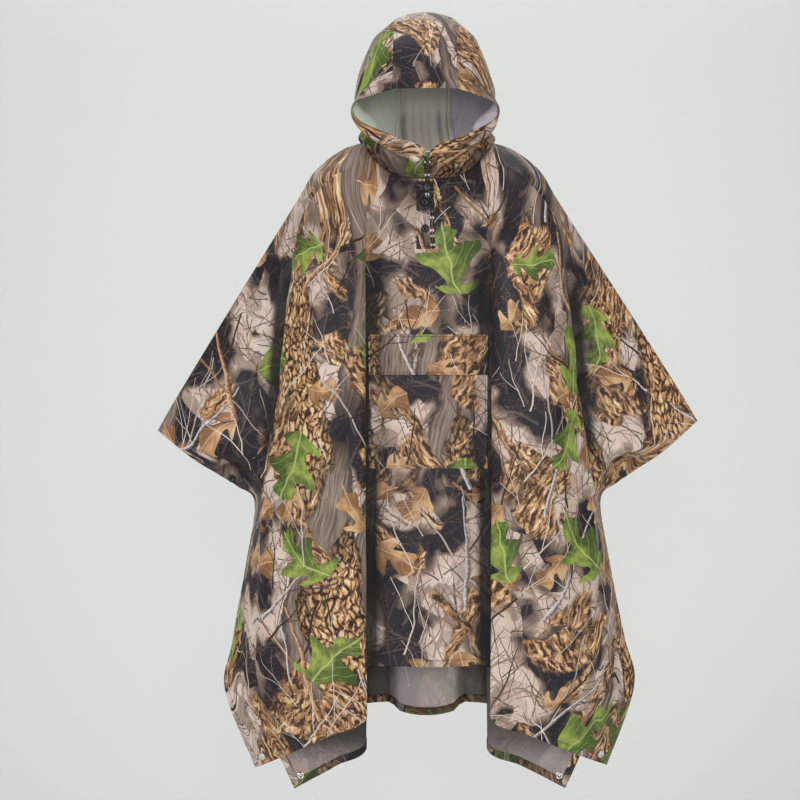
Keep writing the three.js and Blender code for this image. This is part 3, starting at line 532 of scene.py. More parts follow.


# %% [markdown]
# ## Cloth finishes
# Real one: 190T polyester taffeta, printed one side, coated on the other. The print side is a
# close plain weave with a dull shine, so a broad soft highlight runs along each fold. The coated
# reverse shows the print as a greyed ghost. Sewn edges pucker a little and carry one line of
# thread about 12 mm in; the seam attribute holds the distance to the nearest sewn edge. The shade
# attribute holds painted shade, which darkens the colour in deep folds and recesses. On the
# hood and the back, the reverse's ghost tint is made lighter as painted light.

# %% Cloth finishes
def cloth_material(name, reverse=False, shift=(0.0, 0.0), turn=0.0, stitch=True, deep=0.0, veil_and_painted_light="#a39ca3", milk=0.52):
    """Print colour at the cloth's own place, with a stitch line, painted shade from the shade attribute
    and fine crumples. On the reverse the print is mixed milk of the way to veil_and_painted_light,
    the coating's ghost tint, made lighter on some pieces as painted light. deep mixes the colour
    that far towards near-black charcoal.
    """
    material = bpy.data.materials.new(name)
    material.use_nodes = True
    tree = material.node_tree
    shader = tree.nodes["Principled BSDF"]
    place = add(tree, "ShaderNodeTexCoord", out="UV")
    moved = add(tree, "ShaderNodeMapping", {0: place, 1: (*shift, 0), 2: (0, 0, math.radians(turn))})
    group = tree.nodes.new("ShaderNodeGroup")
    group.node_tree = PRINT
    tree.links.new(moved, group.inputs[0])
    colour = group.outputs[0]
    if reverse:
        colour = mix(tree, milk, colour, srgb(veil_and_painted_light))
    if deep:
        colour = mix(tree, deep, colour, srgb("#211c1f"))
    seam = add(tree, "ShaderNodeAttribute", out="Fac", attribute_name="seam", attribute_type="GEOMETRY")
    if stitch:
        away = maths(tree, "ABSOLUTE", maths(tree, "SUBTRACT", seam, 12.0))
        line = step(tree, away, 0.9, 0.35)
        colour = mix(tree, maths(tree, "MULTIPLY", line, 0.55), colour, srgb("#2a211d"))
    # Painted shade: the shade attribute mixes the colour up to 0.93 of the way to near black.
    painted_shade = add(tree, "ShaderNodeAttribute", out="Fac", attribute_name="shade", attribute_type="GEOMETRY")
    colour = mix(tree, maths(tree, "MULTIPLY", painted_shade, 0.93), colour, srgb("#0f0c0e"))
    tree.links.new(colour, shader.inputs["Base Color"])
    shader.inputs["Roughness"].default_value = 0.50 if not reverse else 0.42
    shader.inputs["Specular IOR Level"].default_value = 0.25
    coords = add(tree, "ShaderNodeTexCoord", out="Object")
    broad = add(tree, "ShaderNodeTexNoise", {"Vector": coords, "Scale": 9.0, "Detail": 3.0, "Roughness": 0.55, "Distortion": 0.6})
    fine = add(tree, "ShaderNodeTexNoise", {"Vector": coords, "Scale": 45.0, "Detail": 2.0, "Roughness": 0.5})
    height = maths(tree, "MULTIPLY_ADD", broad, 3.0, maths(tree, "MULTIPLY", fine, 0.35))
    near = step(tree, seam, 18.0, 3.0)
    pucker = add(tree, "ShaderNodeTexNoise", {"Vector": coords, "Scale": 90.0, "Detail": 1.0})
    height = maths(tree, "ADD", height, maths(tree, "MULTIPLY", maths(tree, "MULTIPLY", near, pucker), 1.1))
    bump = add(tree, "ShaderNodeBump", {"Strength": 0.8, "Distance": 0.0016, "Height": height})
    tree.links.new(bump, shader.inputs["Normal"])
    return material


def plain_material(name, colour, rough, metal=0.0, **extra):
    """One even colour; extra is not used."""
    material = bpy.data.materials.new(name)
    material.use_nodes = True
    shader = material.node_tree.nodes["Principled BSDF"]
    shader.inputs["Base Color"].default_value = srgb(colour)
    shader.inputs["Roughness"].default_value = rough
    shader.inputs["Metallic"].default_value = metal
    coords = add(material.node_tree, "ShaderNodeTexCoord", out="Object")
    grain = add(material.node_tree, "ShaderNodeTexNoise", {"Vector": coords, "Scale": 900.0, "Detail": 2.0})
    bump = add(material.node_tree, "ShaderNodeBump", {"Strength": 0.15, "Distance": 0.0002, "Height": grain})
    material.node_tree.links.new(bump, shader.inputs["Normal"])
    return material


def cloth_pair(name, shift=(0.0, 0.0), turn=0.0, stitch=True, veil_and_painted_light="#a39ca3", milk=0.52):
    """Printed side and reverse of one cut piece, which lies anywhere on the roll."""
    return (cloth_material(name + "_print", False, shift, turn, stitch),
            cloth_material(name + "_reverse", True, shift, turn, stitch, 0.0, veil_and_painted_light, milk))


print("finishes ready")


# %% [markdown]
# ## Cords
# The hood's drawcord is a braided cord that runs inside the hood's casing and leaves it at the
# throat. Its two ends pass a spring lock and hang side by side down the placket.

# %% Cord routes
CORD_WIDTH = 3.6
# Points of each cord's middle line, x, y, z in millimetres, from the casing to the free end.
CORD_ROUTES = {
    "left": [(-11.18, -118.47, 3.21), (-5.05, -118.93, -0.13), (-6.35, -123, -14), (-4.35, -118, -38), (-4.35, -118, -54),
             (-4.35, -118, -66), (4.65, -118, -84), (4.65, -118, -128), (6.65, -119, -166)],
    "right": [(11.18, -118.47, 3.21), (5.05, -118.93, -0.13), (2.35, -123, -14), (0.35, -118, -38), (0.35, -118, -54),
              (0.35, -118, -66), (9.35, -118, -84), (9.35, -118, -128), (11.35, -119, -166)],
}


def cord_material():
    """Real one: 3.6 mm braided polyester cord, black with one pale yarn in its cover. The pale
    yarn comes to the surface as short slanting flecks; the braid shows as a fine relief."""
    material = bpy.data.materials.new("braided_cord")
    material.use_nodes = True
    tree = material.node_tree
    shader = tree.nodes["Principled BSDF"]
    place = add(tree, "ShaderNodeTexCoord", out="UV")
    fleck = add(tree, "ShaderNodeSeparateColor", {0: cells(tree, mapped(tree, place, (3.0, 260.0), 0), 1.0)})
    colour = mix(tree, maths(tree, "GREATER_THAN", fleck, 0.90), srgb("#141316"), srgb("#cfd0cc"))
    tree.links.new(colour, shader.inputs["Base Color"])
    shader.inputs["Roughness"].default_value = 0.7
    strands = add(tree, "ShaderNodeTexWave", {"Vector": mapped(tree, place, (4.0, 400.0), 0), "Scale": 1.0}, out="Fac",
                  bands_direction="DIAGONAL")
    bump = add(tree, "ShaderNodeBump", {"Strength": 0.6, "Distance": 0.0003, "Height": strands})
    tree.links.new(bump, shader.inputs["Normal"])
    return material


def tube(name, stations, width, material, sides=14, parts=120):
    """Rings of radius width / 2 across the line through the stations: p + r (cos t n + sin t b),
    n and b two directions square to the line. Gives back the piece and the line it follows."""
    line = through(stations, np.linspace(0, len(stations) - 1, parts))
    ahead = np.gradient(line, axis=0)
    ahead /= np.linalg.norm(ahead, axis=1, keepdims=True)
    n = np.cross(ahead, (0, 1.0, 0))
    n /= np.linalg.norm(n, axis=1, keepdims=True)
    b = np.cross(ahead, n)
    angle = np.arange(sides) * 2 * math.pi / sides
    ring = np.cos(angle)[None, :, None] * n[:, None] + np.sin(angle)[None, :, None] * b[:, None]
    points = (line[:, None] + ring * width / 2).reshape(-1, 3)
    number = np.arange(parts * sides).reshape(parts, sides)
    a, c = number[:-1], number[1:]
    faces = np.stack([a, c, np.roll(c, -1, axis=1), np.roll(a, -1, axis=1)], axis=2).reshape(-1, 4).tolist()
    faces += [number[0].tolist(), number[-1, ::-1].tolist()]
    mesh = bpy.data.meshes.new(name)
    mesh.from_pydata((points * MM).tolist(), [], faces)
    mesh.polygons.foreach_set("use_smooth", np.ones(len(faces), bool))
    run = np.concatenate([[0], np.cumsum(np.linalg.norm(np.diff(line, axis=0), axis=1))]) * MM
    place = np.stack([np.tile(np.arange(sides) / sides, parts), np.repeat(run, sides)], axis=1)
    index = np.zeros(len(mesh.loops), int)
    mesh.loops.foreach_get("vertex_index", index)
    mesh.uv_layers.new(name="cloth").data.foreach_set("uv", place[index].ravel())
    mesh.materials.append(material)
    mesh.update()
    piece = bpy.data.objects.new(name, mesh)
    bpy.context.scene.collection.objects.link(piece)
    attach(piece, "root")
    print(f"{name}: {run[-1]:.3f} m long")
    return piece, line * MM, float(run[-1])


CORD = cord_material()
for side, route in CORD_ROUTES.items():
    piece, line, long = tube(f"cord_{side}", route, CORD_WIDTH, CORD)
    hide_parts(f"drawcord_{side}")


# %% [markdown]
# ## The two panels
# Front and back are each one wide sheet. The tables give lines across a panel, from the neck to
# the hem, with eight stations from the middle to the edge: middle, valley, lip, crown, side fold,
# its valley, sleeve, edge. The edge runs down the shoulder seam to the sleeve's tip, in along the
# cuff and down the open side.

# %% Panel lines
# Columns: z at the middle, lip and edge; x at the eight stations; y at the eight stations. Millimetres.
FRONT_LINES = [
    ((-35, -20, 42), (0, 50, 66, 84, 98, 106, 112, 118), (-88, -80, -73, -62, -49, -39, -28, 0)),
    ((-75, -58, 28), (0, 78, 90, 108, 128, 138, 150, 163), (-99, -98, -96, -88, -76, -68, -48, 0)),
    ((-115, -90, -10), (0, 112, 112, 140, 175, 182, 196, 212), (-104, -106, -112, -110, -92, -84, -58, 0)),
    ((-160, -140, -57), (0, 130, 116, 158, 212, 206, 222, 241), (-107, -112, -138, -142, -108, -88, -56, 0)),
    ((-230, -208, -110), (0, 133, 116, 175, 238, 226, 248, 274), (-109, -116, -158, -168, -118, -88, -52, 0)),
    ((-320, -300, -200), (0, 135, 116, 188, 256, 242, 284, 331), (-111, -118, -166, -186, -124, -92, -54, 0)),
    ((-420, -402, -318), (0, 136, 116, 194, 268, 252, 326, 405), (-112, -120, -168, -192, -128, -94, -60, 0)),
    ((-520, -506, -437), (0, 136, 116, 198, 282, 268, 366, 478), (-113, -121, -168, -194, -128, -96, -66, -4)),
    ((-575, -562, -495), (0, 136, 116, 200, 290, 278, 388, 512), (-113, -121, -168, -194, -126, -96, -72, -4)),
    ((-615, -605, -548), (0, 136, 116, 200, 296, 286, 372, 445), (-114, -121, -168, -193, -120, -100, -64, -44)),
    ((-640, -632, -582), (0, 136, 116, 200, 300, 296, 362, 398), (-114, -121, -168, -193, -116, -98, -14, -7)),
    ((-664, -658, -607), (0, 136, 116, 200, 302, 304, 341, 360), (-114, -121, -168, -192, -114, -96, -12, -3.4)),
    ((-692, -688, -638), (0, 136, 116, 200, 300, 310, 320, 328), (-115, -121, -168, -190, -116, -84, -34, -8)),
    ((-760, -768, -748), (0, 136, 115, 200, 292, 318, 334, 342), (-116, -122, -166, -186, -136, -100, -66, -30)),
    ((-830, -870, -895), (0, 136, 115, 196, 286, 318, 344, 368), (-117, -124, -164, -178, -136, -112, -82, -52)),
    ((-885, -945, -985), (0, 136, 114, 194, 288, 324, 354, 383), (-118, -125, -162, -172, -136, -116, -90, -62)),
    ((-940, -1028, -1132), (0, 136, 113, 186, 250, 282, 308, 329), (-118, -126, -160, -150, -118, -100, -80, -60)),
]
BACK_LINES = [
    ((34, 36, 42), (0, 50, 66, 84, 98, 106, 112, 118), (80, 72, 66, 56, 45, 35, 25, 0)),
    ((5, 8, 28), (0, 78, 90, 108, 128, 138, 150, 163), (100, 98, 96, 88, 74, 66, 46, 0)),
    ((-40, -34, -10), (0, 112, 114, 140, 172, 184, 198, 212), (116, 112, 108, 102, 88, 80, 56, 0)),
    ((-95, -88, -57), (0, 126, 118, 160, 202, 208, 224, 241), (128, 120, 112, 106, 92, 84, 58, 0)),
    ((-160, -148, -110), (0, 133, 118, 178, 228, 228, 250, 274), (138, 128, 110, 108, 94, 84, 56, 0)),
    ((-250, -238, -200), (0, 135, 118, 190, 250, 248, 288, 331), (148, 136, 112, 112, 96, 86, 60, 0)),
    ((-365, -352, -318), (0, 136, 118, 196, 266, 260, 330, 405), (154, 142, 114, 116, 98, 88, 64, 0)),
    ((-475, -465, -437), (0, 136, 118, 200, 282, 276, 370, 478), (158, 146, 116, 118, 100, 90, 68, 4)),
    ((-540, -530, -495), (0, 136, 118, 202, 292, 288, 392, 512), (160, 148, 116, 118, 100, 92, 74, 4)),
    ((-590, -582, -548), (0, 136, 118, 202, 298, 296, 372, 445), (161, 149, 116, 118, 102, 94, 62, 44)),
    ((-628, -621, -582), (0, 136, 118, 201, 299, 302, 362, 398), (161, 149, 116, 118, 103, 92, 14, 7)),
    ((-656, -650, -607), (0, 136, 118, 200, 300, 308, 341, 360), (162, 150, 116, 118, 104, 90, 12, 3.4)),
    ((-690, -684, -638), (0, 136, 118, 200, 290, 308, 319, 328), (163, 151, 116, 118, 106, 84, 34, 8)),
    ((-790, -788, -748), (0, 136, 118, 200, 284, 306, 322, 336), (165, 152, 117, 119, 110, 92, 62, 30)),
    ((-890, -910, -905), (0, 136, 118, 198, 272, 300, 322, 344), (167, 153, 118, 120, 112, 102, 84, 62)),
    ((-975, -1020, -1045), (0, 136, 119, 190, 250, 280, 306, 328), (169, 154, 120, 120, 114, 108, 101, 93)),
    ((-1043, -1130, -1202), (0, 136, 120, 176, 212, 234, 250, 264), (170, 155, 122, 119, 114, 110, 107, 104)),
]
TIP_LINE = 8
NECK_HALF_WIDTH = 124
NECK_FRONT = 88
NECK_BACK = 80
NECK_FRONT_Z = -35
NECK_SIDE_Z = 42
NECK_BACK_Z = 34
SLEEVE_TILT = 9
VALLEY_DROP = 0.08
FLUTE = dict(half_width=70, soft=14, forward=26, drop=22)
HEM_LEAN = dict(aside=6, start=-800, end=-1150, inner=120, outer=220)
SNAP = dict(x=371, z=-591, depth=3, flat=20, fade=52)
SEAM_GAP = 0.3
CLOTH = 1.0
DEEPER = dict(fold=12, side=20, from_line=3, to_line=10)


def neck_point(degrees, side):
    """Front: x = W sin a, y = -F cos a, z rises with (x / W)^3 from the front's or back's height to the side's."""
    angle = np.radians(degrees)
    x = NECK_HALF_WIDTH * np.sin(angle)
    depth = np.where(degrees < 90, NECK_FRONT, NECK_BACK)
    low = np.where(degrees < 90, NECK_FRONT_Z, NECK_BACK_Z)
    z = low + (NECK_SIDE_Z - low) * (x / NECK_HALF_WIDTH) ** 3
    return np.stack([side * x, -depth * np.cos(angle), z], axis=-1)


def panel_grid(lines, front, per_line=13, per_station=15):
    """Curves down the cloth through every station, then across it through the eight stations;
    mirrored about the middle plane, with each sleeve's own tilt, the neck's curve and the snap's pinch."""
    x = np.array([line[1] for line in lines], float)
    y = np.array([line[2] for line in lines], float)
    z3 = np.array([line[0] for line in lines], float)
    if front:
        rows = slice(DEEPER["from_line"], None)
        y[rows, 1] += DEEPER["fold"]
        y[DEEPER["from_line"]:DEEPER["to_line"], 5] += DEEPER["side"]
    z = z3[:, 1:2] + (z3[:, 2:3] - z3[:, 1:2]) * (x - x[:, 2:3]) / (x[:, 7:8] - x[:, 2:3])
    z[:, 0] = z3[:, 0]
    z[:, 1] = z3[:, 0] + (z3[:, 1] - z3[:, 0]) * VALLEY_DROP
    t = np.linspace(0, len(lines) - 1, (len(lines) - 1) * per_line + 1)
    u = np.linspace(0, 7, 7 * per_station + 1)
    stations = through(np.stack([x, y, z], axis=2), t, TIP_LINE)
    half = np.moveaxis(through(np.moveaxis(stations, 1, 0), u), 0, 1)
    grid = np.concatenate([half[:, :0:-1] * (-1, 1, 1), half], axis=1)
    side = np.sign(grid[..., 0])
    grid[..., 2] += side * SLEEVE_TILT * np.clip((np.abs(grid[..., 0]) - 250) / 260, 0, 1)
    share = np.abs(np.arange(grid.shape[1]) - len(u) + 1) / (len(u) - 1)
    degrees = 90 * share if front else 180 - 90 * share
    neck = neck_point(degrees, np.where(np.arange(grid.shape[1]) < len(u) - 1, -1, 1))
    hold = np.clip(1 - t / 1.0, 0, 1)[:, None, None] ** 1.5
    grid += (neck - grid[0])[None] * hold
    if not front:
        near = smooth((FLUTE["half_width"] - np.abs(grid[..., 0])) / FLUTE["soft"])
        bend = np.sqrt(np.clip(1 - (grid[..., 0] / FLUTE["half_width"]) ** 2, 0, 1))
        down = (t / (len(lines) - 1))[:, None]
        grown = near * np.clip((down - 0.5) * 2.2, 0, 1)
        grid[..., 1] -= FLUTE["forward"] * grown * (0.6 + 0.4 * bend)
        grid[..., 2] -= FLUTE["drop"] * grown * bend * np.clip((down - 0.8) * 5, 0, 1)
    low = smooth((grid[..., 2] - HEM_LEAN["start"]) / (HEM_LEAN["end"] - HEM_LEAN["start"]))
    wide = smooth((np.abs(grid[..., 0]) - HEM_LEAN["inner"]) / (HEM_LEAN["outer"] - HEM_LEAN["inner"]))
    grid[..., 0] += HEM_LEAN["aside"] * low * wide
    sign = -1 if front else 1
    place = SNAP["z"] + side * SLEEVE_TILT / 2
    away = np.hypot(np.abs(grid[..., 0]) - SNAP["x"], grid[..., 2] - place)
    pressed = smooth((SNAP["fade"] - away) / (SNAP["fade"] - SNAP["flat"]))
    grid[..., 1] += (sign * SNAP["depth"] - grid[..., 1]) * pressed
    return grid


front_grid = panel_grid(FRONT_LINES, True)
back_grid = panel_grid(BACK_LINES, False)
print("front", front_grid.shape, "back", back_grid.shape)


# %% [markdown]
# ## Creases
# Light coated cloth keeps a memory of how it was folded and held. Each row below is one crease,
# as it lies on the garment seen from its own side: where its middle is, how long and wide it is,
# which way it runs and how far it stands out. They are uneven in length, depth and spacing, as
# creases are, and each fades towards its ends.

# %% Creases
# Columns: x, z of the middle, length, width, turn from upright in degrees, height. Millimetres.
FRONT_CREASES = [
    (-185, -60, 170, 16, 38, 4.5), (-150, -95, 150, 12, 24, -4.0), (-205, -150, 240, 20, 12, 5.0),
    (170, -50, 160, 15, -36, 4.5), (148, -98, 170, 12, -20, -4.0), (212, -170, 260, 18, -10, 5.0),
    (-60, -120, 120, 14, 55, 2.5), (70, -115, 110, 12, -50, 2.5), (-88, -190, 160, 15, 20, 2.5), (92, -205, 170, 14, -16, 2.5),
    (-215, -430, 420, 26, 4, 5.0), (-160, -560, 380, 18, -3, -4.0), (-240, -760, 420, 24, 6, 5.5), (-185, -860, 330, 20, 2, -4.5),
    (-290, -900, 300, 22, 13, 6.0), (-330, -960, 220, 18, 18, -5.0), (-150, -930, 240, 14, -2, 3.5), (-262, -1030, 170, 16, 8, 4.5),
    (205, -450, 430, 24, -3, 5.0), (168, -600, 360, 17, 2, -4.0), (252, -740, 430, 25, -7, 5.5), (196, -880, 340, 18, -1, -4.5),
    (300, -890, 320, 21, -14, 6.0), (338, -950, 210, 17, -17, -5.0), (150, -950, 220, 13, 3, 3.5), (270, -1040, 160, 15, -9, 4.5),
    (-330, -330, 240, 20, 58, 4.0), (-300, -420, 230, 18, 74, -4.5), (-390, -440, 190, 16, 48, 3.5), (-335, -505, 190, 13, 80, 4.5),
    (-345, -555, 120, 9, 62, -4.0), (-330, -585, 110, 8, 84, 3.5), (-440, -480, 120, 12, 40, 3.0),
    (325, -320, 250, 21, -56, 4.0), (305, -410, 220, 17, -72, -4.5), (385, -430, 200, 16, -46, 3.5), (338, -500, 180, 13, -80, 4.5),
    (350, -550, 120, 9, -60, -4.0), (332, -580, 110, 8, -86, 3.5), (438, -470, 120, 12, -42, 3.0),
    (-60, -690, 360, 22, 3, 3.0), (45, -760, 380, 20, -4, -3.0), (88, -640, 300, 14, 6, 2.5), (-20, -860, 200, 16, -6, 2.5),
    (-245, -240, 180, 13, 20, -3.5), (250, -235, 190, 13, -22, -3.5), (-228, -345, 150, 10, 34, 3.0), (236, -380, 160, 10, -30, 3.0),
]
BACK_CREASES = [
    (-180, -70, 180, 17, 34, 4.5), (175, -65, 170, 16, -35, 4.5), (-60, -160, 230, 22, 10, 4.0), (58, -190, 250, 20, -8, 4.0),
    (-212, -420, 420, 24, 5, 5.0), (215, -450, 400, 25, -4, 5.0), (-170, -640, 380, 18, -2, -4.0), (175, -610, 360, 18, 3, -4.0),
    (-246, -800, 400, 22, 6, 5.5), (240, -780, 420, 23, -6, 5.5), (-60, -600, 460, 24, 3, 4.5), (70, -640, 440, 22, -4, 4.5),
    (-95, -860, 260, 16, 2, -4.0), (92, -900, 240, 15, -3, -4.0), (-20, -820, 320, 16, -2, 4.0), (28, -900, 260, 15, 3, -3.5),
    (-330, -340, 230, 20, 58, 4.0), (328, -330, 240, 20, -58, 4.0), (-340, -500, 190, 13, 80, 4.5), (342, -496, 180, 13, -80, 4.5),
    (-345, -560, 110, 9, 64, -4.0), (348, -552, 110, 9, -62, -4.0), (-200, -1040, 160, 15, 6, 4.0), (205, -1050, 150, 14, -7, 4.0),
]


def creased(grid, creases, outward):
    """Adds height * exp(-(across / width)^2) * cos^2 of the way along, along the cloth's normal, for each crease."""
    x, z = grid[..., 0], grid[..., 2]
    rise = np.zeros_like(x)
    for cx, cz, length, width, turn, height in creases:
        angle = math.radians(turn)
        sway = 0.06 * length * np.sin((z - cz) / length * 3 + cx)
        dx = x - cx + sway
        dz = z - cz
        along = -dx * math.sin(angle) + dz * math.cos(angle)
        across = dx * math.cos(angle) + dz * math.sin(angle)
        way = np.clip(np.abs(along) / (length / 2), 0, 1)
        rise += height * np.exp(-(across / width) ** 2) * np.cos(way * math.pi / 2) ** 2
    return grid + normals_of(grid) * (outward * rise)[..., None]


def held_edges(grid, creased_grid, sides, reach=30.0):
    """Creases fade to nothing within reach of sewn edges, so neighbouring pieces still meet."""
    free = smooth(edge_distance(grid, sides) / reach)[..., None]
    return grid + (creased_grid - grid) * free


def panel_seam(grid):
    """Length to the hem, and below the sleeve's tip to the side edges."""
    tip = TIP_LINE * 13
    hem = edge_distance(grid, ["bottom"])
    side = edge_distance(grid, ["left", "right"])
    side[:tip] = 999
    neck = edge_distance(grid, ["top"]) + 8
    return np.minimum(np.minimum(hem, side), neck)


def eyelet(grid, x, z, outward, radius=4.5):
    """The grid point nearest x, z becomes a hole's centre: its eight neighbours move, along the
    cloth, onto a circle round it. Gives back the hole's row and column, its centre and normal."""
    normal = normals_of(grid) * outward
    half = grid.shape[1] // 2
    columns = slice(0, half) if x < 0 else slice(half, None)
    away = (grid[:, columns, 0] - x) ** 2 + (grid[:, columns, 2] - z) ** 2
    r, c = np.unravel_index(np.argmin(away), away.shape)
    c += 0 if x < 0 else half
    centre, n = grid[r, c].copy(), normal[r, c]
    for dr, dc in RING:
        way = grid[r + dr, c + dc] - centre
        way -= n * np.dot(way, n)
        grid[r + dr, c + dc] = centre + way / np.linalg.norm(way) * radius
    return (r, c), centre, n


front_shape = held_edges(front_grid, creased(front_grid, FRONT_CREASES, 1), ["top", "left", "right"])
back_shape = held_edges(back_grid, creased(back_grid, BACK_CREASES, -1), ["top", "left", "right"])
HOLES = {"front": [], "back": []}
EYELETS = {}
for panel, grid, x, z, out in (("front", front_shape, 316, -1108, 1), ("back", back_shape, 251, -1180, -1)):
    for side, sign in (("left", -1), ("right", 1)):
        where, centre, normal = eyelet(grid, sign * x + HEM_LEAN["aside"], z, out)
        HOLES[panel].append(where)
        EYELETS[f"grommet_{panel}_{side}"] = (centre, normal)
FRONT_PRINT = cloth_pair("front", (0.0, 0.0))
# The back's reverse gets a lighter tint as painted light, which shows on the forward flute; painted shade darkens the
# rest.
BACK_PRINT = cloth_pair("back", (3.7, 1.3), 0, True, "#e4d6d4", 0.62)
# Painted shade on the back's reverse inside the garment: 0.42 at the hem, growing above it to 0.95 on the left and 0.80
# on the right, and none on the flute.
height = back_grid[..., 2]
off_flute = 1 - smooth((FLUTE["half_width"] - 4 - np.abs(back_grid[..., 0])) / 6)
side_painted_shade = np.where(back_grid[..., 0] < 0, 0.95, 0.80)
inside_back_painted_shade = (0.42 + (side_painted_shade - 0.42) * smooth((height + 1160) / 60)) * off_flute
# Painted shade: fold_painted_shade darkens the front's printed side, and the back's printed side and reverse, in deep
# folds.
front = shell("front", front_shape, CLOTH, 1, FRONT_PRINT, cloth_uv(front_grid), panel_seam(front_grid),
              keep=lambda y: np.minimum(y, -SEAM_GAP / 2), holes=HOLES["front"],
              shade=(fold_painted_shade(front_grid, -1), 0 * front_grid[..., 0]))
back = shell("back", back_shape, CLOTH, -1, BACK_PRINT, cloth_uv(back_grid), panel_seam(back_grid),
             keep=lambda y: np.maximum(y, SEAM_GAP / 2), holes=HOLES["back"],
             shade=(fold_painted_shade(back_grid, 1), np.maximum(fold_painted_shade(back_grid, -1), inside_back_painted_shade)))
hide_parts("front_panel")
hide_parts("back_panel")


# %% [markdown]
# ## The hem band inside the back
# The back hangs lower than the front, so its reverse shows below the front hem. Its bottom edge is
# turned up and stitched, which brings a narrow band of the printed side round to the inside.

# %% Back hem band
def hem_band(grid, depth, edge):
    """The last row and a row depth above it, filled in; edge columns are left off at each side."""
    last = grid[-1, edge:-edge]
    up = grid[-8, edge:-edge] - last
    up /= np.linalg.norm(up, axis=1, keepdims=True)
    share = np.linspace(1, 0, 5)[:, None, None]
    return last[None] + up[None] * depth * share


band_grid = hem_band(back_shape, 15, 2)
# The band's colour is mixed 0.6 of the way to near-black charcoal.
BAND = cloth_material("hem_band_print", False, (1.9, 4.2), 0, False, 0.6)
band = shell("back_hem_band", band_grid, 0.9, -1, (BAND, BAND), cloth_uv(band_grid),
             edge_distance(band_grid, ["top"]) + 3, lift=-CLOTH - SEAM_GAP)
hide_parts("back_hem")


def side_band(grid, right, depth, top_row):
    """A strip depth wide along one open side edge, from top_row down to the hem band."""
    edge = grid[top_row:, -1] if right else grid[top_row:, 0]
    inward = (grid[top_row:, -8] if right else grid[top_row:, 7]) - edge
    inward /= np.linalg.norm(inward, axis=1, keepdims=True)
    share = np.linspace(0, 1, 5)[None, :, None]
    strip = edge[:, None] + inward[:, None] * depth * share
    return strip[:, ::-1] if right else strip


for side in ("left", "right"):
    strip = side_band(back_shape, side == "right", 14, 13 * 12)
    edging = cloth_material(f"side_band_{side}_print", False, (4.7 if side == "left" else 7.2, 1.6), 3, False)
    piece = shell(f"back_side_band_{side}", strip, 0.9, -1, (edging, edging), cloth_uv(strip),
                  edge_distance(strip, ["right" if side == "left" else "left"]) + 3, lift=-CLOTH - 0.25)


# %% [markdown]
# ## The hood
# Two side pieces and a crown strip between them, as on most simple hoods. The sides are eased
# into a neck seam that is shorter than they are, so small gathers stand up from it all round.
# The rim is turned back into a casing for the drawcord, which pulls the throat together.

# %% Hood tables
# Columns: at along the neck, turn on the neck seam in degrees from the front, then six points of
# half width, y, z from the crown seam down. Millimetres.
HOOD_LINES = [
    (0, 1.5, ((60, -147, 124), (95, -138, 114), (131, -118, 101), (125, -106, 72), (64, -114, 42), (6, -119, 16))),
    (0.125, 9, ((60, -128, 159), (98, -116, 142), (133, -94, 102), (124, -84, 58), (84, -97, 26), (24, -111, -7))),
    (0.3, 32, ((59, -92, 217), (102, -82, 184), (130, -58, 116), (94, -52, 68), (90, -62, 34), (78, -79, 2))),
    (0.5, 66, ((58, -30, 269), (102, -28, 222), (133, -18, 122), (102, -22, 84), (113, -31, 60), (119.5, -38, 40))),
    (0.7, 105, ((56, 60, 262), (101, 58, 210), (126, 48, 124), (110, 38, 88), (119, 29, 68), (124, 24, 55))),
    (0.85, 135, ((53, 112, 208), (87, 98, 168), (106, 86, 120), (102, 74, 80), (96, 66, 60), (93, 60, 48))),
    (1, 155, ((50, 112, 112), (50.5, 107, 98), (51, 100, 84), (51.5, 92, 70), (52, 84, 58), (52.5, 78, 46))),
]
HOOD_CLOTH = 1.0
HOOD_RAISE = 1.6
HOOD_DOWN = 96
HOOD_ACROSS = 128
CASING_END = 0.125
# Columns: place along the neck from 0 to 1, width, height. Gathers above the neck seam.
GATHERS = [
    (0.05, 0.012, 3.0), (0.09, 0.014, -2.5), (0.15, 0.016, 4.0), (0.205, 0.015, -3.5), (0.26, 0.018, 4.5), (0.32, 0.016, -3.0),
    (0.37, 0.020, 4.0), (0.43, 0.018, -4.0), (0.48, 0.016, 3.0), (0.54, 0.020, -3.5), (0.60, 0.018, 4.0), (0.66, 0.016, -3.0),
    (0.71, 0.018, 3.5), (0.77, 0.016, -3.0),
]
# Columns: y, z of the middle, length, width, turn from upright in degrees, height. Hood sides, seen from the side.
HOOD_CREASES = [
    (-70, 150, 160, 14, 28, 3.0), (-30, 120, 180, 16, 10, -3.0), (0, 190, 150, 14, -16, 3.0), (-95, 90, 90, 10, 60, 2.5),
    (30, 110, 150, 14, -8, 3.0), (-55, 60, 90, 9, 36, -2.5), (70, 140, 140, 12, -28, -3.0), (-20, 235, 110, 10, 66, 2.0),
]


# Columns: place across the crown strip from -1 to 1, width, height. Upright folds at the nape.
NAPE_RIDGES = [(-0.72, 0.10, 4.0), (-0.38, 0.12, -5.0), (-0.10, 0.09, 5.0), (0.22, 0.13, -4.5), (0.50, 0.10, 5.0), (0.78, 0.08, -3.0)]


# Painted shade inside, dark lines between the folds of the nape: place across from -1 to 1, width, depth of shade.
NAPE_SHADOWS = [(-0.80, 0.13, 0.62), (-0.42, 0.05, 0.25), (-0.12, 0.04, 0.14), (0.18, 0.05, 0.2), (0.58, 0.10, 0.5),
                (0.88, 0.06, 0.45)]


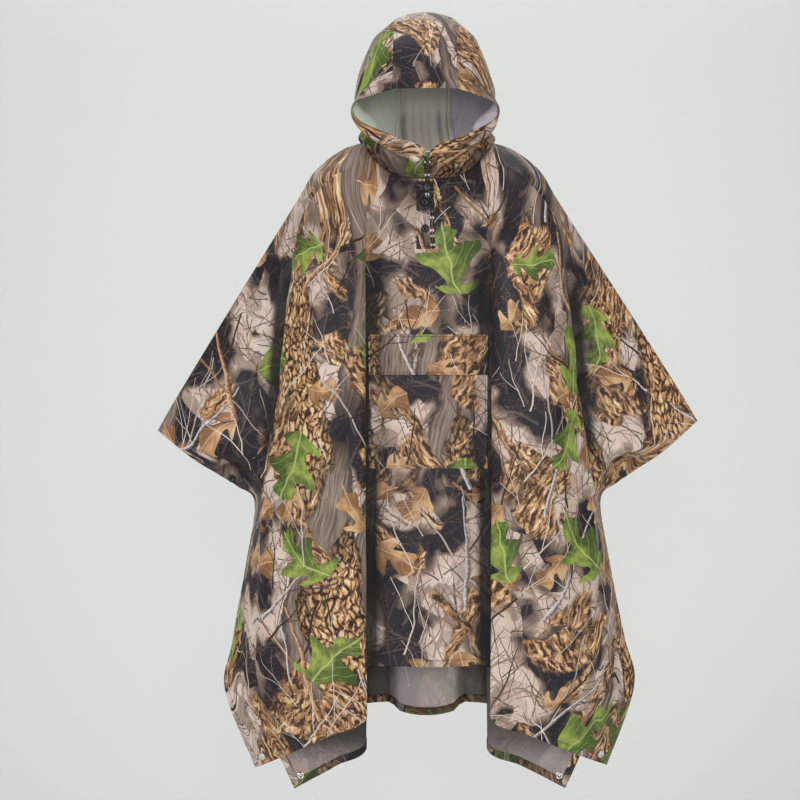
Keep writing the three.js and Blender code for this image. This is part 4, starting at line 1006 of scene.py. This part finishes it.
def hood_side(side):
    """Curves down through each line's points, then back along the neck; each gather adds a ridge
    h exp(-((a - place) / width)^2) that grows from the throat's height down to the neck seam."""
    places = [line[0] for line in HOOD_LINES]
    turns = np.array([line[1] for line in HOOD_LINES], float)
    ends = neck_point(turns, 1) + (0, 0, HOOD_RAISE)
    points = np.array([line[2] for line in HOOD_LINES], float)
    points = np.concatenate([points, ends[:, None]], axis=1)
    t = np.linspace(0, 6, HOOD_DOWN + 1)
    a = np.linspace(0, 1, HOOD_ACROSS + 1)
    down = np.moveaxis(through(np.moveaxis(points, 1, 0), t), 0, 1)
    grid = np.moveaxis(through_at(places, down, a), 0, 1)
    grid[-1] = neck_point(through_at(places, turns, a), 1) + (0, 0, HOOD_RAISE)
    grow = np.clip((t - 3.2) / 1.6, 0, 1) * np.clip((6 - t) / 0.35, 0, 1)
    fade = np.clip(a * 6, 0, 1) * np.clip((0.88 - a) * 6, 0, 1)
    uneven = 1 + 0.35 * side
    ridge = sum(h * np.exp(-((a - p - 0.006 * side * uneven) / w) ** 2) for p, w, h in GATHERS)
    push = grow[:, None] * (fade * ridge)[None]
    grid[..., 0] += push * np.sin(a * 3)
    grid[..., 1] -= push * np.cos(a * 3)
    rise = np.zeros(grid.shape[:2])
    for cy, cz, length, width, turn, height in HOOD_CREASES:
        angle = math.radians(turn + 6 * side)
        dy = grid[..., 1] - cy - 6 * side
        dz = grid[..., 2] - cz
        along = -dy * math.sin(angle) + dz * math.cos(angle)
        across = dy * math.cos(angle) + dz * math.sin(angle)
        way = np.clip(np.abs(along) / (length / 2), 0, 1)
        rise += height * np.exp(-(across / width) ** 2) * np.cos(way * math.pi / 2) ** 2
    free = smooth(edge_distance(grid, ["top", "right", "bottom", "left"]) / 22)
    grid += normals_of(grid) * (rise * free)[..., None]
    return grid * (side, 1, 1)


def hood_crown(side_grid, rows=20):
    """A strip between the two crown seams, bowed by 1 - u^2 forwards at the brim and upwards on top."""
    edge = np.concatenate([side_grid[0], side_grid[1:, -1]])
    s = np.linspace(0, 1, len(edge))[:, None]
    u = np.linspace(-1, 1, 2 * rows + 1)[None]
    bow = 1 - u * u
    half = np.abs(edge[:, :1]) - SEAM_GAP
    ridges = sum(h * np.exp(-((u - place) / width) ** 2) for place, width, h in NAPE_RIDGES)
    ridges = ridges * smooth((s - 0.56) / 0.2) * smooth((1 - s) / 0.05) * smooth((1 - np.abs(u)) / 0.15)
    forward = 5 * np.cos(math.pi * np.minimum(1, s * 1.6))
    rise = 15 * np.sin(math.pi * np.minimum(1, s * 1.25))
    return np.stack([half * u, edge[:, 1:2] - forward * bow - ridges, edge[:, 2:] + rise * bow], axis=2)


def leaning(grid, aside=-5.5, start=30, end=90):
    """x + aside * s, s growing smoothly from 0 at the height start to 1 at the height end."""
    share = smooth((grid[..., 2] - start) / (end - start))
    return grid + share[..., None] * (aside, 0, 0)


straight_right = hood_side(1)
hood_grids = {"left": leaning(hood_side(-1)), "right": leaning(straight_right)}
# The hood's inside gets little light here, so its reverse tints are made lighter as painted light: near white on the
# left side, pale lilac on the right.
HOOD_PRINTS = {"left": cloth_pair("hood_left", (5.1, 2.6), 12, True, "#eefaea", 0.86),
               "right": cloth_pair("hood_right", (2.2, 6.4), -9, True, "#dcd6e6", 0.76)}
casing_columns = int(round(CASING_END * HOOD_ACROSS)) + 1
casing_rows = int(round(5 / 6 * HOOD_DOWN)) + 1
HOOD_SIDES = {}
for side, grid in hood_grids.items():
    out = -1 if side == "left" else 1
    seam = edge_distance(grid, ["top", "right", "bottom"])
    # Painted shade on the printed side near the neck seam, towards the front, under the rim's roll.
    neck_painted_shade = 0.62 * smooth((70 - edge_distance(grid, ["bottom"])) / 50) * smooth((-grid[..., 1] - 10) / 40)
    piece = HOOD_SIDES[side] = shell(f"hood_side_{side}", grid, HOOD_CLOTH, out, HOOD_PRINTS[side], cloth_uv(grid), seam + 6,
                  shade=(neck_painted_shade, 0 * neck_painted_shade))
    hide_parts(f"hood_{side}")
    band_part = grid[:casing_rows, :casing_columns]
    casing = cloth_material(f"casing_{side}_print", False, (6.3 + out, 0.8), 4)
    strip = shell(f"casing_{side}", band_part, 0.9, out, (casing, casing), cloth_uv(band_part),
                  edge_distance(band_part, ["right"]) + 8, lift=1.2)
    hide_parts(f"hood_casing_{side}")

crown_grid = leaning(hood_crown(straight_right))
# The crown's reverse gets a near-white tint as painted light, for the inside of the hood.
CROWN_PRINT = cloth_pair("hood_crown", (7.7, 4.1), 3, True, "#fff6ee", 0.80)
across = np.linspace(-1, 1, crown_grid.shape[1])[None]
down = np.linspace(0, 1, len(crown_grid))[:, None]
nape_painted_shade = sum(deep * np.exp(-((across - place) / width) ** 2) for place, width, deep in NAPE_SHADOWS)
nape_painted_shade = nape_painted_shade * smooth((down - 0.5) / 0.15)
crown = shell("crown_strip", crown_grid, HOOD_CLOTH, -1, CROWN_PRINT, cloth_uv(crown_grid),
              edge_distance(crown_grid, ["left", "right"]) + 6, lift=1.4, shade=(0 * nape_painted_shade, nape_painted_shade))
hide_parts("hood_crown")


# %% [markdown]
# ## Pocket, flap and placket
# Each is a flat piece laid on the front and stitched down, so it is made from the front's own
# points a little further out. The flap covers the pocket's top edge; the placket is the narrow
# band at the throat with two snaps.

# %% Pieces sewn on the front
POCKET = dict(half_width=110, top=-325, flap_bottom=-400, bottom=-573)
PLACKET = dict(left=-22, right=10, top=-40, bottom=-167)
SEWN_LIFT = 1.2


def laid_on(grid, left, right, top, bottom, across, down, lift):
    """The front's middle columns, read at each z and then at each x, moved forwards by lift."""
    middle = grid.shape[1] // 2
    near = grid[:, middle - 15:middle + 16]
    z = np.linspace(top, bottom, down + 1)
    x = np.linspace(left, right, across + 1)
    read = [[np.interp(-z, -column[:, 2], column[:, k]) for k in (0, 1)] for column in near.transpose(1, 0, 2)]
    read = np.array(read)
    y = np.array([np.interp(x, read[:, 0, r], read[:, 1, r]) for r in range(len(z))])
    return np.stack([np.tile(x, (len(z), 1)), y - lift, np.repeat(z[:, None], len(x), axis=1)], axis=2)


def sewn_piece(name, node, grid, shift, edges, turn=0.0):
    """A stitched flat piece with its own place on the roll."""
    pair = cloth_pair(name, shift, turn)
    piece = shell(name, grid, 0.9, 1, pair, cloth_uv(grid), edge_distance(grid, edges) + 8)
    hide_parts(node)
    return piece


pocket_grid = laid_on(front_shape, -POCKET["half_width"], POCKET["half_width"], POCKET["top"] - 12, POCKET["bottom"],
                      110, 118, SEWN_LIFT)
flap_grid = laid_on(front_shape, -POCKET["half_width"] - 1, POCKET["half_width"] + 1, POCKET["top"], POCKET["flap_bottom"],
                    112, 38, 2 * SEWN_LIFT)
belly = smooth(np.linspace(0, 1, flap_grid.shape[0]) * 1.4)[:, None] * np.sin(np.linspace(0, math.pi, flap_grid.shape[1]))[None]
flap_grid[..., 1] -= 1.8 * belly
placket_grid = laid_on(front_shape, PLACKET["left"], PLACKET["right"], PLACKET["top"], PLACKET["bottom"],
                       24, 80, SEWN_LIFT + SEAM_GAP)
sewn_piece("pocket", "chest_pocket", pocket_grid, (4.4, 0.9), ["left", "right", "bottom"])
sewn_piece("flap", "pocket_flap", flap_grid, (0.6, 5.5), ["left", "right", "bottom", "top"])
sewn_piece("placket_band", "placket", placket_grid, (8.2, 2.9), ["left", "right", "bottom"], 3)


# %% [markdown]
# ## Snaps, grommets and the cord lock
# The snaps are pressed black plastic caps with a shallow dished face. The grommets are rolled
# from bright nickelled brass; each sits in a hole at a corner, where the two panels can be tied
# down. The cord lock is a sprung barrel with a button in its top.

# %% Hard trims
PLASTIC = plain_material("snap_plastic", "#16151a", 0.38)
NICKEL = plain_material("bright_nickel", "#e6e6e4", 0.22, 1.0)
SNAP_PROFILE = [(0.01, 0), (7.3, 0), (7.5, 0.5), (7.3, 1.2), (6.8, 2.2), (6.0, 3.0), (5.0, 3.4), (4.0, 3.2), (3.2, 2.9), (0.01, 2.8)]


def grommet_profile(inner=3.2, outer=7.0, barrel=4.2, half=0.8, flange=1.0):
    """Half a circle over each flange, and between them the barrel that passes the cloth."""
    angle = np.linspace(0, math.pi, 9)
    middle = (inner + outer) / 2
    reach = (outer - inner) / 2
    top = np.stack([middle + reach * np.cos(angle), half + flange * np.sin(angle)], axis=1)
    lower = np.stack([middle - reach * np.cos(angle), -half - flange * np.sin(angle)], axis=1)
    return np.concatenate([top, lower, [[barrel, -half], [barrel, half]]])


def on_cloth(grid, x, z, outward):
    """The grid point nearest to x, z, and the cloth's outward normal there."""
    away = (grid[..., 0] - x) ** 2 + (grid[..., 2] - z) ** 2
    r, c = np.unravel_index(np.argmin(away), away.shape)
    return grid[r, c], normals_of(grid)[r, c] * outward


def lock_barrel(name, rings, centre, material, sides=40):
    """Rings of (half width, half depth, height) in a closed loop: outside up, inside down. Each ring
    is a rounded box |x/w|^n + |y/d|^n = 1, n 2 outside and 6 in the slot."""
    angle = np.arange(sides) * 2 * math.pi / sides
    points = []
    for w, d, h, n in rings:
        r = (np.abs(np.cos(angle)) ** n + np.abs(np.sin(angle)) ** n) ** (-1 / n)
        points.append(np.stack([w * r * np.cos(angle), d * r * np.sin(angle), np.full(sides, h)], axis=1))
    points = np.concatenate(points) + np.asarray(centre)
    number = np.arange(len(points)).reshape(len(rings), sides)
    a, b = number, np.roll(number, -1, axis=0)
    faces = np.stack([a, np.roll(a, -1, axis=1), np.roll(b, -1, axis=1), b], axis=2).reshape(-1, 4)
    mesh = bpy.data.meshes.new(name)
    mesh.from_pydata((points * MM).tolist(), [], faces.tolist())
    mesh.polygons.foreach_set("use_smooth", np.ones(len(faces), bool))
    mesh.materials.append(material)
    piece = bpy.data.objects.new(name, mesh)
    bpy.context.scene.collection.objects.link(piece)
    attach(piece, "root")
    return piece


for name, z in (("placket_snap_upper", -80), ("placket_snap_lower", -129)):
    point, _ = on_cloth(placket_grid, -6, z, 1)
    piece = turned(f"{name}_cap", SNAP_PROFILE, 32, (-6, point[1] - 0.1, z), (0, -1, 0), PLASTIC)
    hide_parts(name)
for side, sign in (("left", -1), ("right", 1)):
    z = SNAP["z"] + sign * SLEEVE_TILT / 2
    for kind, way in (("cap", -1), ("socket", 1)):
        centre = (sign * SNAP["x"], way * (SNAP["depth"] + 0.1), z)
        piece = turned(f"cuff_{kind}_{side}", SNAP_PROFILE, 32, centre, (0, way, 0), PLASTIC)
        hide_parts(f"cuff_snap_{kind}_{side}")
for name, (centre, normal) in EYELETS.items():
    middle = centre - normal * CLOTH / 2
    piece = turned(f"{name}_ring", grommet_profile(), 32, middle, normal, NICKEL)
    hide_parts(name)

LOCK_RINGS = [
    (5.6, 3.2, -7.0, 2), (6.8, 4.4, -6.8, 2), (7.4, 4.9, -5.8, 2), (7.5, 5.0, -4.0, 2), (7.5, 5.0, 2.6, 2), (7.3, 4.8, 3.6, 2),
    (6.6, 4.2, 3.9, 2), (6.5, 4.1, 4.3, 2), (6.9, 4.5, 4.6, 2), (6.9, 4.5, 6.2, 2), (6.4, 4.0, 6.9, 2), (5.4, 3.0, 7.0, 2),
    (4.9, 2.4, 6.6, 6), (4.9, 2.4, -6.6, 6),
]
lock = lock_barrel("cord_lock_barrel", LOCK_RINGS, (-2, -118, -54), PLASTIC)
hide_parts("cord_lock")


# %% [markdown]
# ## What each soft piece is
# The cords hang free from the casing's ends. The panels are flat sheets that were cut wider than
# they hang: the folds take up the rest of the width.


def flat_size(grid):
    """Widest row and longest column along the cloth, and the cloth's area, in metres."""
    across = np.linalg.norm(np.diff(grid, axis=1), axis=2).sum(axis=1).max() * MM
    down = np.linalg.norm(np.diff(grid, axis=0), axis=2).sum(axis=0).max() * MM
    cell = np.cross(grid[1:, :-1] - grid[:-1, :-1], grid[:-1, 1:] - grid[:-1, :-1])
    return across, down, np.linalg.norm(cell, axis=2).sum() * MM * MM


SHEETS = [
    (front, front_shape, "draped", ["pocket", "flap", "placket_band"]),
    (back, back_shape, "draped", ["back_hem_band", "back_side_band_left", "back_side_band_right"]),
    (HOOD_SIDES["left"], hood_grids["left"], "gathered", ["casing_left"]),
    (HOOD_SIDES["right"], hood_grids["right"], "gathered", ["casing_right"]),
    (crown, crown_grid, "draped", []),
]
for piece, grid, held, with_it in SHEETS:
    width, height, area = flat_size(grid)
    print(f"{piece.name}: flat {width:.3f} x {height:.3f} m, {area:.3f} m2")


# %% [markdown]
# ## The stage
# The photograph was cut out on white-grey, so the stage is a pale floor that curves up into a
# pale wall a long way behind. Nothing touches it: the poncho hangs in the air on its wearer's
# shoulders. The light is one wide soft source high on the left and a fill from the right.

# %% Stage
def backdrop(name, half_width=9.0, floor=-1.62, near=-6.0, far=4.0, top=6.0, radius=2.5, steps=24):
    """Flat floor, a quarter circle of the given radius, then a flat wall."""
    angle = np.linspace(0, math.pi / 2, steps)
    curve = np.stack([far - radius + radius * np.sin(angle), floor + radius - radius * np.cos(angle)], axis=1)
    profile = np.concatenate([[[near, floor]], curve, [[far, top]]])
    points = [(x, y, z) for y, z in profile for x in (-half_width, half_width)]
    faces = [(2 * i, 2 * i + 1, 2 * i + 3, 2 * i + 2) for i in range(len(profile) - 1)]
    mesh = bpy.data.meshes.new(name)
    mesh.from_pydata(points, [], faces)
    mesh.polygons.foreach_set("use_smooth", np.ones(len(faces), bool))
    sheet = bpy.data.objects.new(name, mesh)
    bpy.context.scene.collection.objects.link(sheet)
    material = bpy.data.materials.new(name)
    material.use_nodes = True
    material.node_tree.nodes["Principled BSDF"].inputs["Base Color"].default_value = srgb("#e4e6e3")
    material.node_tree.nodes["Principled BSDF"].inputs["Roughness"].default_value = 0.95
    sheet.data.materials.append(material)
    return sheet


def soft_light(name, place, target, size, power):
    """A square area light of the given size that looks at the target."""
    lamp = bpy.data.objects.new(name, bpy.data.lights.new(name, "AREA"))
    bpy.context.scene.collection.objects.link(lamp)
    lamp.data.shape = "SQUARE"
    lamp.data.size = size
    lamp.data.energy = power
    lamp.location = place
    lamp.rotation_euler = (Vector(target) - Vector(place)).to_track_quat("-Z", "Y").to_euler()
    return lamp


floor = backdrop("floor")
lights = [
    soft_light("key", (-3.0, -4.0, 1.2), (0, 0, -0.5), 1.4, 95),
    soft_light("right", (3.2, -3.9, 0.7), (0, 0, -0.5), 1.4, 62),
    soft_light("front", (0.0, -5.0, -0.1), (0, 0, -0.3), 0.8, 42),
    soft_light("wall_light", (0, 1.4, 4.6), (0, 4.0, -0.3), 4.0, 158),
]
world = bpy.data.worlds.new("studio")
world.use_nodes = True
world.node_tree.nodes["Background"].inputs["Color"].default_value = srgb("#f3f5f7")
world.node_tree.nodes["Background"].inputs["Strength"].default_value = 0.26
bpy.context.scene.world = world
bpy.context.scene.view_settings.view_transform = "Standard"
print("stage ready")


# %% [markdown]
# ## Update

# %% Update
bpy.context.view_layer.update()
